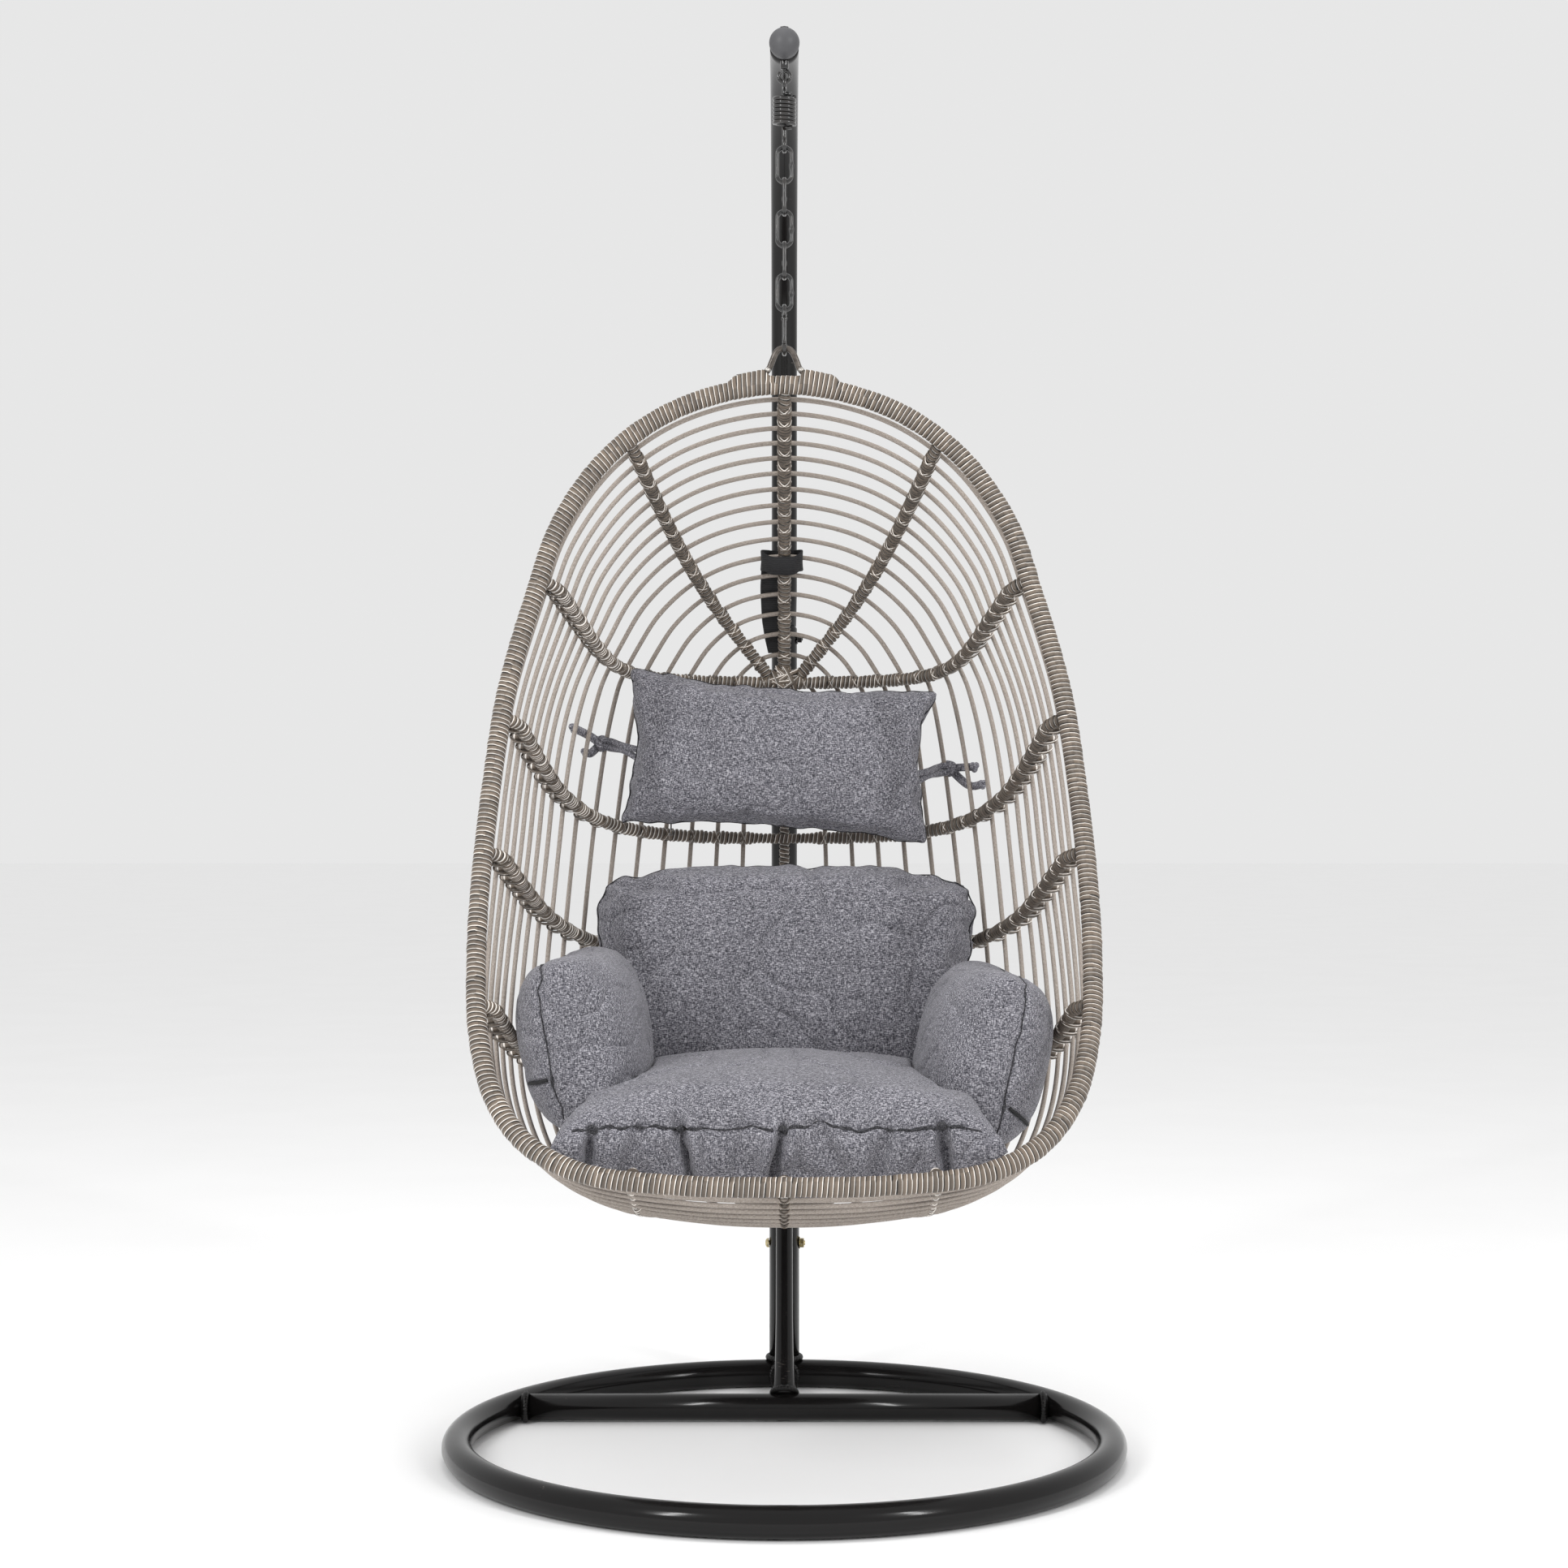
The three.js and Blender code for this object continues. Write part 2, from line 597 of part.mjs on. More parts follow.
// Follows the line where a flat plane meets the shell, from the rim inwards, and returns points
// on it inset by a rib's depth. The plane is given by its height function. The line ends near
// the shell's middle, or where done says so.
function planarHalf(height, inset, rimFrom, rimTo, done = () => false) {
  let along = rimCrossing(height, rimFrom, rimTo);
  let across = 1;
  let heading = null;
  const points = [insetPoint(along, across, inset)];
  const step = RIB_STATION / 6;
  for (let i = 1; i < 400; i += 1) {
    const here = shellPoint(along, across);
    const byAlong = shellPoint(along + 0.002, across).sub(here).multiplyScalar(500);
    const byAcross = here.clone().sub(shellPoint(along, across - 0.004)).multiplyScalar(250);
    const origin = height(new THREE.Vector3());
    const slopeAlong = height(byAlong) - origin;
    const slopeAcross = height(byAcross) - origin;
    const travel = byAlong.clone().multiplyScalar(slopeAcross).addScaledVector(byAcross, -slopeAlong);
    const inwards = heading ? travel.dot(heading) > 0 : slopeAlong > 0;
    const scale = ((inwards ? 1 : -1) * step) / travel.length();
    heading = travel.multiplyScalar(inwards ? 1 : -1);
    along += slopeAcross * scale;
    across = Math.min(across - slopeAlong * scale, 1);
    for (let n = 0; n < 3; n += 1) {
      const error = height(shellPoint(along, across));
      const easeAlong = slopeAlong / byAlong.lengthSq();
      const easeAcross = slopeAcross / byAcross.lengthSq();
      const total = easeAlong * slopeAlong + easeAcross * slopeAcross;
      along -= (error * easeAlong) / total;
      across = Math.min(across - (error * easeAcross) / total, 1);
    }
    if (across < 0.04 || along < 0.003 || along > 0.997) break;
    const every = points.length < 4 ? 2 : 6;
    if (i % every === 0) points.push(insetPoint(along, across, inset));
    if (done(shellPoint(along, across))) break;
  }
  return points;
}

// Ends a half at its own point on the middle plane, so that the two halves meet smoothly.
function endInMiddle(points, middle) {
  middle.x = 0;
  while (points[points.length - 1].distanceTo(middle) < 0.6 * RIB_STATION) points.pop();
  return [...points, middle];
}

function spineInset(share, inset) {
  const tangent = spineCurve.getTangentAt(share);
  const inward = new THREE.Vector3(0, tangent.z, -tangent.y);
  return spineCurve.getPointAt(share).addScaledVector(inward, inset);
}

function spineShareAt(height) {
  let share = 0;
  while (share < 1 && height(spineCurve.getPointAt(share)) > 0) share += 0.002;
  return share;
}

function crossRibCurve(rib) {
  const height = crossRibHeight(rib);
  const inset = RIB_INSET + SADDLE_INSET;
  const overHub = height(spineCurve.getPointAt(0)) < 0;
  const middle = overHub
    ? insetPoint(0, planeCrossing(0, height), inset)
    : spineInset(spineShareAt(height), inset);
  const half = endInMiddle(planarHalf(height, inset, 0.1, 0.95), middle);
  return curveThrough([...half, ...mirrored(half.slice(0, -1)).reverse()]);
}

// The centre rib: from the rim's top over the hub, down the spine and out to the rim's bottom.
function centreRibCurve() {
  const fromRim = [0, 0.3, 0.65, 1, 2, 4.5, 7, 9.5, 12, 14.5, 17];
  const points = fromRim.map((spaces) => insetPoint(0, 1 - spaces / ROD_SPACES, RIB_INSET));
  for (let i = 0; i <= 10; i += 1) points.push(spineInset((i / 10) * SPINE_USED, RIB_INSET));
  fromRim.reverse().forEach((spaces) => points.push(insetPoint(1, 1 - spaces / ROD_SPACES, RIB_INSET)));
  for (const point of points) point.x = 0;
  return curveThrough(points);
}

function diagonalCurve() {
  const back = spineCurve.getPointAt(0).y;
  const { start, slope, rise } = DIAGONAL;
  const height = (point) => point.z - HUB_Z - slope * (point.x - start) - rise * (back - point.y);
  const middle = insetPoint(0, planeCrossing(0, height), RIB_INSET);
  return curveThrough(endInMiddle(planarHalf(height, RIB_INSET, 0.1, 0.95), middle));
}

function seatRibCurve() {
  const beside = (point) => point.x - SEAT_RIB_X;
  const aboveRib = crossRibHeight(CROSS_RIBS[3]);
  return curveThrough(planarHalf(beside, RIB_INSET, 0.7, 1, (point) => point.y > 0 && aboveRib(point) > 0));
}

function mirroredGeometry(geometry) {
  const copy = geometry.index ? geometry.toNonIndexed() : geometry.clone();
  const position = copy.attributes.position;
  for (let i = 0; i < position.count; i += 3) {
    const a = new THREE.Vector3().fromBufferAttribute(position, i);
    const b = new THREE.Vector3().fromBufferAttribute(position, i + 1);
    const c = new THREE.Vector3().fromBufferAttribute(position, i + 2);
    position.setXYZ(i, -a.x, a.y, a.z);
    position.setXYZ(i + 1, -c.x, c.y, c.z);
    position.setXYZ(i + 2, -b.x, b.y, b.z);
  }
  return copy;
}

function addPair(name, geometry, finish) {
  addPart(`${name}_right`, geometry, finish);
  addPart(`${name}_left`, mirroredGeometry(geometry), finish);
}

function buildBasketFrame() {
  addPart('rim', loopAlong(rimCurve, RIM_TUBE, 8, 60), 'wrap');
  const rimCutter = loopAlong(rimCurve, RIM_TUBE + GAP, 8, 60);

  const centreCurve = centreRibCurve();
  addPart('centre_rib', cut(rodAlong(centreCurve, RIB_TUBE, 6, centreCurve.stations), rimCutter), 'wrap');
  const centreCutter = rodAlong(centreCurve, RIB_TUBE + GAP, 6, centreCurve.stations);

  const crossCutters = [];
  CROSS_RIBS.forEach((rib, index) => {
    const curve = crossRibCurve(rib);
    const bar = rodAlong(curve, RIB_TUBE, 6, curve.stations);
    addPart(`cross_rib_${index + 1}`, cut(bar, rimCutter, centreCutter), 'wrap');
    crossCutters.push(rodAlong(curve, RIB_TUBE + GAP, 6, curve.stations));
  });

  const diagonal = diagonalCurve();
  const diagonalBar = rodAlong(diagonal, RIB_TUBE, 6, diagonal.stations);
  addPair('diagonal_rib', cut(diagonalBar, rimCutter, centreCutter, crossCutters[0]), 'wrap');
  const seatRib = seatRibCurve();
  const seatRibBar = rodAlong(seatRib, RIB_TUBE, 6, seatRib.stations);
  addPair('seat_rib', cut(seatRibBar, rimCutter, crossCutters[3]), 'wrap');

  for (let number = 1; number <= ROD_COUNT; number += 1) {
    const curve = rodLoop(number);
    addPart(`rod_${String(number).padStart(2, '0')}`, loopAlong(curve, ROD_TUBE, 5, curve.stations), 'rod');
  }
}

// The loop that the snap hook holds: an arch whose two ends lie along the rim.
function buildHangingLoop() {
  const right = [[9, 1540], [15, 1532], [19, 1522], [23, 1513.5], [31, 1508], [46, 1506.5], [80, 1502]];
  const left = right.map(([x, z]) => [-x, z]).reverse();
  const outline = [...left, [0, LOOP_TOP_Z], ...right];
  const points = outline.map(([x, z]) => [x, RIM_TOP_Y, z]);
  addPart('hanging_loop', rodAlong(smooth(points), LOOP_WIRE, 6, 28), 'loop');
}

// ---------- soft parts ----------

// A plump closed form: a ball under a power norm, so that its sides are fuller than a sphere's.
function pillow({ size, centre, tilt = [0, 0, 0], power = 2.8, grow = 0 }) {
  const geometry = new THREE.SphereGeometry(1, 18, 10);
  const position = geometry.attributes.position;
  const point = new THREE.Vector3();
  for (let i = 0; i < position.count; i += 1) {
    point.fromBufferAttribute(position, i);
    const total = Math.abs(point.x) ** power + Math.abs(point.y) ** power + Math.abs(point.z) ** power;
    point.divideScalar(total ** (1 / power));
    position.setXYZ(
      i, point.x * (size[0] / 2 + grow), point.y * (size[1] / 2 + grow), point.z * (size[2] / 2 + grow),
    );
  }
  const turn = new THREE.Euler(...tilt.map(THREE.MathUtils.degToRad));
  geometry.applyMatrix4(new THREE.Matrix4().makeRotationFromEuler(turn));
  geometry.translate(...centre);
  return geometry;
}

const SEAT = { size: [590, 490, 146], centre: [-5, -120, 474], tilt: [1, 0, 0] };
const BACK = { size: [576, 126, 370], centre: [3, 184, 652], tilt: [-8, 0, 0] };
const HEAD = { size: [458, 95, 242], centre: [-9, 230, 979], tilt: [-3, 4, 0] };
// The loose arm bolsters have settled unevenly: the right one lies lower.
const BOLSTER_RIGHT = { size: [180, 370, 250], centre: [266, -82, 572], tilt: [0, 12, 4], power: 2.3 };
const BOLSTER_LEFT = { size: [180, 370, 240], centre: [-268, -78, 592], tilt: [0, -10, -4], power: 2.3 };

function buildCushions() {
  const sides = { right: BOLSTER_RIGHT, left: BOLSTER_LEFT };
  const bolsters = [];
  for (const [side, bolster] of Object.entries(sides)) {
    addPart(`arm_bolster_${side}`, pillow(bolster), 'cushion');
    bolsters.push(pillow({ ...bolster, grow: 3 }));
  }
  addPart('seat_cushion', cut(pillow(SEAT), ...bolsters), 'cushion');
  addPart('back_cushion', cut(pillow(BACK), pillow({ ...SEAT, grow: 3 }), ...bolsters), 'cushion');
  addPart('head_cushion', pillow(HEAD), 'cushion');
}

// The webbing strap round the centre rib, with its tail hanging behind the rods.
function buildStrap() {
  const at = shellPoint(0, 1 - 11.5 / ROD_SPACES);
  const band = new THREE.Shape();
  const halfWidth = 27;
  const front = -(RIB_INSET + RIB_TUBE + 17);
  const back = ROD_TUBE + 8;
  band.moveTo(-halfWidth, front);
  band.lineTo(halfWidth, front);
  band.lineTo(halfWidth, back);
  band.lineTo(-halfWidth, back);
  const wall = 2;
  const opening = new THREE.Path();
  opening.moveTo(-halfWidth + wall, front + wall);
  opening.lineTo(-halfWidth + wall, back - wall);
  opening.lineTo(halfWidth - wall, back - wall);
  opening.lineTo(halfWidth - wall, front + wall);
  band.holes.push(opening);
  const height = 13;
  const ring = new THREE.ExtrudeGeometry(band, { depth: height, bevelEnabled: false });
  ring.translate(-3, at.y, at.z - height / 2);
  const tail = new THREE.BoxGeometry(34, wall, 165);
  tail.translate(0, 0, -82.5);
  tail.rotateX(0.62);
  tail.translate(-14, at.y + back - wall / 2, at.z + height / 2);
  addPart('anti_swing_strap', join(ring, tail), 'strap');
}

buildStand();
buildHanger();
buildBasketFrame();
buildHangingLoop();
buildCushions();
buildStrap();

export default chair;
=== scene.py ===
"""Looks of a hanging egg chair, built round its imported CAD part. Metres, the row's frame."""
import math
import random

import bmesh
import bpy
import numpy as np
from mathutils import Euler, Matrix, Vector, noise
from mathutils.bvhtree import BVHTree
from mathutils.kdtree import KDTree


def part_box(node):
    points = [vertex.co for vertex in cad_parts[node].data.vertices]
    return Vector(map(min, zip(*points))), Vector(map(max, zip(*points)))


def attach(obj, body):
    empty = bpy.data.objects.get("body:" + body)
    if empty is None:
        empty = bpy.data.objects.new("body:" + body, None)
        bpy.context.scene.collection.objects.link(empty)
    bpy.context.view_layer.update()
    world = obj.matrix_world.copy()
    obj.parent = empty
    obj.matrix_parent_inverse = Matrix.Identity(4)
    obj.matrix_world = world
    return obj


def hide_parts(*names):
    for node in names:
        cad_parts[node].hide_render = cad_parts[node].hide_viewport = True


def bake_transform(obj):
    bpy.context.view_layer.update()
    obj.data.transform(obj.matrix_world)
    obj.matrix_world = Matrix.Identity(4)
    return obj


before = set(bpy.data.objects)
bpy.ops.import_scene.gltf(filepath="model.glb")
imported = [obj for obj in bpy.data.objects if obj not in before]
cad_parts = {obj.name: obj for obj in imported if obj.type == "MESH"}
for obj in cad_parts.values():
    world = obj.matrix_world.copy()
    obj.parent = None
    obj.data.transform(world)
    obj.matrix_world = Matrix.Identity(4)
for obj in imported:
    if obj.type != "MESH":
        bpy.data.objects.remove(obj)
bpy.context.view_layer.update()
RNG = random.Random(7)


def box_centre(node):
    low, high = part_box(node)
    return (low + high) / 2


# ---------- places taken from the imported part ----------

RING = box_centre("base_ring")
RING_LOW, RING_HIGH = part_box("base_ring")
RING_TUBE = (RING_HIGH.z - RING_LOW.z) / 2
RING_RADIUS = (RING_HIGH.x - RING_LOW.x) / 2 - RING_TUBE
HANG_Y = box_centre("hanger_nut").y
ARM_Z = box_centre("end_cap").z
FRONT = RING.y          # the ring's centre, which the basket's own lines are measured from

# The same working dimensions as the CAD part, in millimetres from the ring's centre.
RIM_OUTLINE = [
    (0, 1492), (140, 1463), (240, 1397), (311, 1299), (345, 1199), (381, 1064), (398, 931),
    (407, 800), (407, 702), (399, 612), (373, 532), (327, 478), (255, 445), (130, 431), (0, 429),
]
RIM_TOP_Y, RIM_REACH, RIM_SWEEP = -20, 380, 2.1
SPINE_OUTLINE = [
    (330, 1052), (336, 940), (337, 830), (334, 700), (318, 580), (275, 478), (200, 408),
    (110, 369), (20, 356),
]
SPINE_USED = 0.91
HUB_Z = 1090
ROD_COUNT = 17
ROD_SPACES = 18.58
RIB_INSET = 14.5
SADDLE = 6
SEAT_RIB_X = 195
CROSS_RIBS = [(HUB_Z, 0.35), (858, 0.41), (672, 0.36), (432, 0.37)]
DIAGONAL = (14, 1.21, 0.22)
MAST_LEAN = math.radians(4.4)
ARCH_RADIUS = 0.560


# ---------- lines and tubes ----------

def spline(points, closed=False, per=24):
    """A centripetal Catmull-Rom line through points, as a dense polyline."""
    p = np.array(points, float)
    count = len(p)
    spans = count if closed else count - 1
    out = []
    for i in range(spans):
        if closed:
            a, b, c, d = (p[(i + k) % count] for k in (-1, 0, 1, 2))
        else:
            b, c = p[i], p[i + 1]
            a = p[i - 1] if i > 0 else 2 * b - c
            d = p[i + 2] if i + 2 < count else 2 * c - b
        t0, t1, t2 = (max(np.linalg.norm(v), 1e-9) ** 0.5 for v in (b - a, c - b, d - c))
        m0 = ((b - a) / t0 - (c - a) / (t0 + t1) + (c - b) / t1) * t1
        m1 = ((c - b) / t1 - (d - b) / (t1 + t2) + (d - c) / t2) * t1
        t = np.linspace(0, 1, per, endpoint=False)[:, None]
        out.append(
            (2 * t**3 - 3 * t**2 + 1) * b + (t**3 - 2 * t**2 + t) * m0
            + (-2 * t**3 + 3 * t**2) * c + (t**3 - t**2) * m1
        )
    dense = np.vstack(out)
    return np.vstack([dense, dense[:1] if closed else p[-1:]])


def lengths(line):
    return np.concatenate([[0], np.cumsum(np.linalg.norm(np.diff(line, axis=0), axis=1))])


def at(line, shares):
    """Points of a polyline at shares of its length from 0 to 1."""
    run = lengths(line)
    want = np.clip(np.atleast_1d(shares), 0, 1) * run[-1]
    return np.stack([np.interp(want, run, line[:, k]) for k in range(3)], 1)


def frames(line, closed=False):
    """Tangents, and two directions across the line that don't twist along it."""
    tangent = np.gradient(line, axis=0)
    if closed:
        tangent[0] = tangent[-1] = line[1] - line[-2]
    tangent /= np.linalg.norm(tangent, axis=1)[:, None] + 1e-12
    side = np.zeros_like(line)
    seed = np.array([1.0, 0, 0]) if abs(tangent[0][0]) < 0.8 else np.array([0, 0, 1.0])
    side[0] = np.cross(tangent[0], seed)
    side[0] /= np.linalg.norm(side[0])
    for i in range(1, len(line)):
        v = side[i - 1] - tangent[i] * side[i - 1].dot(tangent[i])
        side[i] = v / (np.linalg.norm(v) + 1e-12)
    up = np.cross(tangent, side)
    if closed:
        angle = math.atan2(side[-1].dot(up[0]), side[-1].dot(side[0]))
        turn = -angle * np.linspace(0, 1, len(line))[:, None]
        side, up = np.cos(turn) * side + np.sin(turn) * up, np.cos(turn) * up - np.sin(turn) * side
    return tangent, side, up


def mesh_piece(name, verts, faces, uvs=None, smooth=True, material=None):
    mesh = bpy.data.meshes.new(name)
    mesh.from_pydata([tuple(v) for v in verts], [], faces)
    if uvs is not None:
        layer = mesh.uv_layers.new(name="UVMap")
        layer.data.foreach_set("uv", np.array(uvs, np.float32).ravel())
    mesh.polygons.foreach_set("use_smooth", [smooth] * len(mesh.polygons))
    mesh.update()
    piece = bpy.data.objects.new(name, mesh)
    bpy.context.scene.collection.objects.link(piece)
    if material:
        mesh.materials.append(material)
    return piece


def tube_data(line, radius, sides=12, closed=False, base=0):
    """Vertices, faces and face-corner UVs of a round tube. radius is one number or one per point."""
    radius = np.broadcast_to(np.array(radius, float), (len(line),))
    _, side, up = frames(line, closed)
    rows = len(line) - 1 if closed else len(line)
    run = lengths(line)
    angle = np.linspace(0, 2 * np.pi, sides, endpoint=False)
    cos, sin = np.cos(angle)[None, :, None], np.sin(angle)[None, :, None]
    ring = cos * side[:rows, None] + sin * up[:rows, None]
    verts = (line[:rows, None] + radius[:rows, None, None] * ring).reshape(-1, 3)
    faces, uvs = [], []
    for i in range(rows if closed else rows - 1):
        n = (i + 1) % rows
        for j in range(sides):
            k = (j + 1) % sides
            quad = (i * sides + j, i * sides + k, n * sides + k, n * sides + j)
            faces.append(tuple(base + corner for corner in quad))
            a, b, c, d = run[i], run[i + 1], j / sides, (j + 1) / sides
            uvs += [(a, c), (a, d), (b, d), (b, c)]
    if not closed:
        for row, flip in ((0, True), (rows - 1, False)):
            loop = [base + row * sides + j for j in range(sides)]
            faces.append(tuple(reversed(loop)) if flip else tuple(loop))
            uvs += [(run[row], j / sides) for j in range(sides)]
    return verts, faces, uvs


def tubes(name, lines, radius, sides=12, closed=False, material=None):
    """One piece made of one or more round tubes."""
    verts, faces, uvs = [], [], []
    base = 0
    for n, line in enumerate(lines):
        r = radius[n] if isinstance(radius, list) else radius
        v, f, u = tube_data(np.array(line, float), r, sides, closed, base)
        verts.append(v)
        faces += f
        uvs += u
        base += len(v)
    return mesh_piece(name, np.vstack(verts), faces, uvs, True, material)


# ---------- materials ----------

class Nodes:
    """A short way to write a material's node tree."""

    def __init__(self, name):
        self.material = bpy.data.materials.new(name)
        self.material.use_nodes = True
        self.tree = self.material.node_tree
        self.shader = self.tree.nodes["Principled BSDF"]

    def add(self, kind, inputs=None, **settings):
        node = self.tree.nodes.new(kind)
        for key, value in settings.items():
            setattr(node, key, value)
        for key, value in (inputs or {}).items():
            self.put(node.inputs[key], value)
        return node

    def put(self, socket, value):
        if isinstance(value, bpy.types.NodeSocket):
            self.tree.links.new(value, socket)
        else:
            socket.default_value = value

    def set(self, **values):
        for key, value in values.items():
            self.put(self.shader.inputs[key.replace("_", " ")], value)

    def coords(self, kind="Object", scale=(1, 1, 1)):
        source = self.add("ShaderNodeTexCoord").outputs[kind]
        return self.add("ShaderNodeMapping", {"Vector": source, "Scale": scale}).outputs["Vector"]

    def noise(self, vector, scale, detail=3.0, rough=0.55):
        return self.add(
            "ShaderNodeTexNoise", {"Vector": vector, "Scale": scale, "Detail": detail, "Roughness": rough}
        ).outputs["Fac"]

    def math(self, operation, a, b=0.0, c=0.0):
        return self.add("ShaderNodeMath", {0: a, 1: b, 2: c}, operation=operation).outputs[0]

    def ramp(self, value, stops):
        node = self.add("ShaderNodeValToRGB", {"Fac": value})
        items = node.color_ramp.elements
        while len(items) < len(stops):
            items.new(0.5)
        for item, (place, colour) in zip(items, stops):
            item.position = place
            item.color = (*colour, 1)
        return node.outputs["Color"]

    def mix(self, factor, a, b, blend="MIX"):
        node = self.add("ShaderNodeMix", data_type="RGBA", blend_type=blend)
        self.put(node.inputs["Factor"], factor)
        self.put(node.inputs["A"], a if isinstance(a, bpy.types.NodeSocket) else (*a, 1))
        self.put(node.inputs["B"], b if isinstance(b, bpy.types.NodeSocket) else (*b, 1))
        return node.outputs["Result"]

    def bump(self, height, strength, distance):
        return self.add(
            "ShaderNodeBump", {"Height": height, "Strength": strength, "Distance": distance}
        ).outputs["Normal"]


def greys(*stops):
    """A ramp's stops from (place, grey value) pairs."""
    return [(place, (value,) * 3) for place, value in stops]


def painted_steel():
    """Gloss black powder coat: faint orange peel, and a few pale scuffs."""
    n = Nodes("painted_steel")
    peel = n.noise(n.coords(), 420, 2)
    patch = n.noise(n.coords(), 9, 4)
    marks = n.noise(n.coords(scale=(60, 60, 240)), 1.6, 5, 0.7)
    scuff = n.ramp(n.math("MULTIPLY", marks, patch), greys((0.40, 0), (0.47, 1)))
    n.set(Base_Color=n.mix(scuff, (0.006, 0.0055, 0.0055), (0.06, 0.053, 0.048)))
    n.set(Roughness=n.ramp(patch, greys((0.3, 0.12), (0.7, 0.22))))
    n.set(Normal=n.bump(peel, 0.05, 0.0004), Specular_IOR_Level=0.26)
    return n.material


def chain_steel():
    """Black coated wire: glossy, with faint brown patches."""
    n = Nodes("chain_steel")
    patch = n.noise(n.coords(), 60, 2)
    n.set(Base_Color=n.ramp(patch, [(0.4, (0.007, 0.007, 0.0075)), (0.7, (0.020, 0.017, 0.015))]))
    n.set(Roughness=0.30, Specular_IOR_Level=0.2, Coat_Weight=1.0, Coat_Roughness=0.05, Coat_IOR=1.55)
    return n.material


def zinc_plate():
    n = Nodes("zinc_plate")
    stain = n.noise(n.coords(), 240, 4)
    n.set(Base_Color=n.ramp(stain, [
        (0.3, (0.42, 0.30, 0.11)), (0.5, (0.62, 0.52, 0.27)), (0.7, (0.50, 0.47, 0.42)),
    ]))
    n.set(Metallic=1.0, Roughness=n.ramp(stain, greys((0.2, 0.25), (0.8, 0.45))))
    return n.material


def dull_steel():
    """Grey-brown coated wire of the hanging loop."""
    n = Nodes("dull_steel")
    patch = n.noise(n.coords(), 130, 4)
    n.set(Base_Color=n.ramp(patch, [(0.3, (0.045, 0.038, 0.032)), (0.65, (0.13, 0.112, 0.098))]))
    n.set(Metallic=0.3, Roughness=n.ramp(patch, greys((0.2, 0.16), (0.8, 0.30))))
    n.set(Normal=n.bump(patch, 0.15, 0.0005))
    return n.material


def weld_metal():
    n = Nodes("weld_metal")
    patch = n.noise(n.coords(), 500, 3)
    n.set(Base_Color=n.ramp(patch, [(0.3, (0.35, 0.33, 0.30)), (0.7, (0.75, 0.72, 0.68))]))
    n.set(Metallic=0.8, Roughness=0.35, Normal=n.bump(patch, 0.4, 0.0006))
    return n.material


def cap_plastic():
    n = Nodes("cap_plastic")
    grain = n.noise(n.coords(), 900, 2)
    patch = n.noise(n.coords(), 25, 3)
    n.set(Base_Color=n.ramp(patch, [(0.3, (0.060, 0.060, 0.064)), (0.7, (0.085, 0.085, 0.09))]))
    n.set(Roughness=0.5, Normal=n.bump(grain, 0.10, 0.0003))
    return n.material


def strand_resin(name="strand_resin", pale=1.0, body=1.0, width=0.08):
    """Flat resin strand in turns: UV x counts the turns, y goes once round the tube. Each turn has
    a painted highlight of the given width along one edge, and painted shade in the groove at both
    its edges; pale scales the painted highlight's colour and body the strand's."""
    n = Nodes(name)
    uv = n.add("ShaderNodeTexCoord").outputs["UV"]
    parts = n.add("ShaderNodeSeparateXYZ", {"Vector": uv})
    across = n.math("FRACT", parts.outputs["X"])
    turn = n.math("FLOOR", parts.outputs["X"])
    chance = n.add("ShaderNodeTexWhiteNoise", {"W": turn}, noise_dimensions="1D").outputs["Value"]
    streak_at = n.add("ShaderNodeCombineXYZ", {
        "X": n.math("MULTIPLY", parts.outputs["X"], 9.0), "Y": n.math("MULTIPLY", parts.outputs["Y"], 1.3),
    }).outputs["Vector"]
    streak = n.noise(streak_at, 1.0, 3)
    # pale colour of the painted highlight along each turn's edge
    painted_highlight = tuple(c * pale for c in (0.90, 0.865, 0.83))
    taupe = tuple(c * body for c in (0.135, 0.108, 0.085))
    # lighter taupe where the painted highlight fades into the strand
    light = tuple(c * 1.35 for c in taupe)
    # near black: painted shade in the groove between turns
    gap = (0.012, 0.010, 0.008)
    face = n.ramp(across, [
        (0.0, gap), (0.06, gap), (0.10, painted_highlight), (0.10 + width, painted_highlight), (0.15 + width, light), (0.60, taupe),
        (0.86, taupe), (0.95, gap), (1.0, gap),
    ])
    shade = n.math("ADD", n.math("MULTIPLY", chance, 0.5), n.math("MULTIPLY", streak, 0.8))
    tone = n.ramp(shade, [(0.3, (0.60,) * 3), (0.95, (1.25, 1.22, 1.18))])
    n.set(Base_Color=n.mix(1.0, face, tone, "MULTIPLY"))
    n.set(Roughness=n.ramp(streak, greys((0.2, 0.36), (0.8, 0.55))))
    n.set(Normal=n.bump(streak, 0.25, 0.0005))
    return n.material


def rod_resin():
    """Light taupe resin with fine dark grain along the rod."""
    n = Nodes("rod_resin")
    grain = n.noise(n.coords("UV", (90, 9, 1)), 3.0, 4, 0.7)
    speck = n.noise(n.coords(), 1100, 2, 0.6)
    blend = n.math("ADD", n.math("MULTIPLY", grain, 0.65), n.math("MULTIPLY", speck, 0.35))
    n.set(Base_Color=n.ramp(blend, [
        (0.30, (0.070, 0.056, 0.046)), (0.42, (0.235, 0.200, 0.170)), (0.55, (0.395, 0.345, 0.305)),
        (0.70, (0.62, 0.565, 0.525)),
    ]))
    n.set(Roughness=0.58, Normal=n.bump(blend, 0.35, 0.0005))
    return n.material


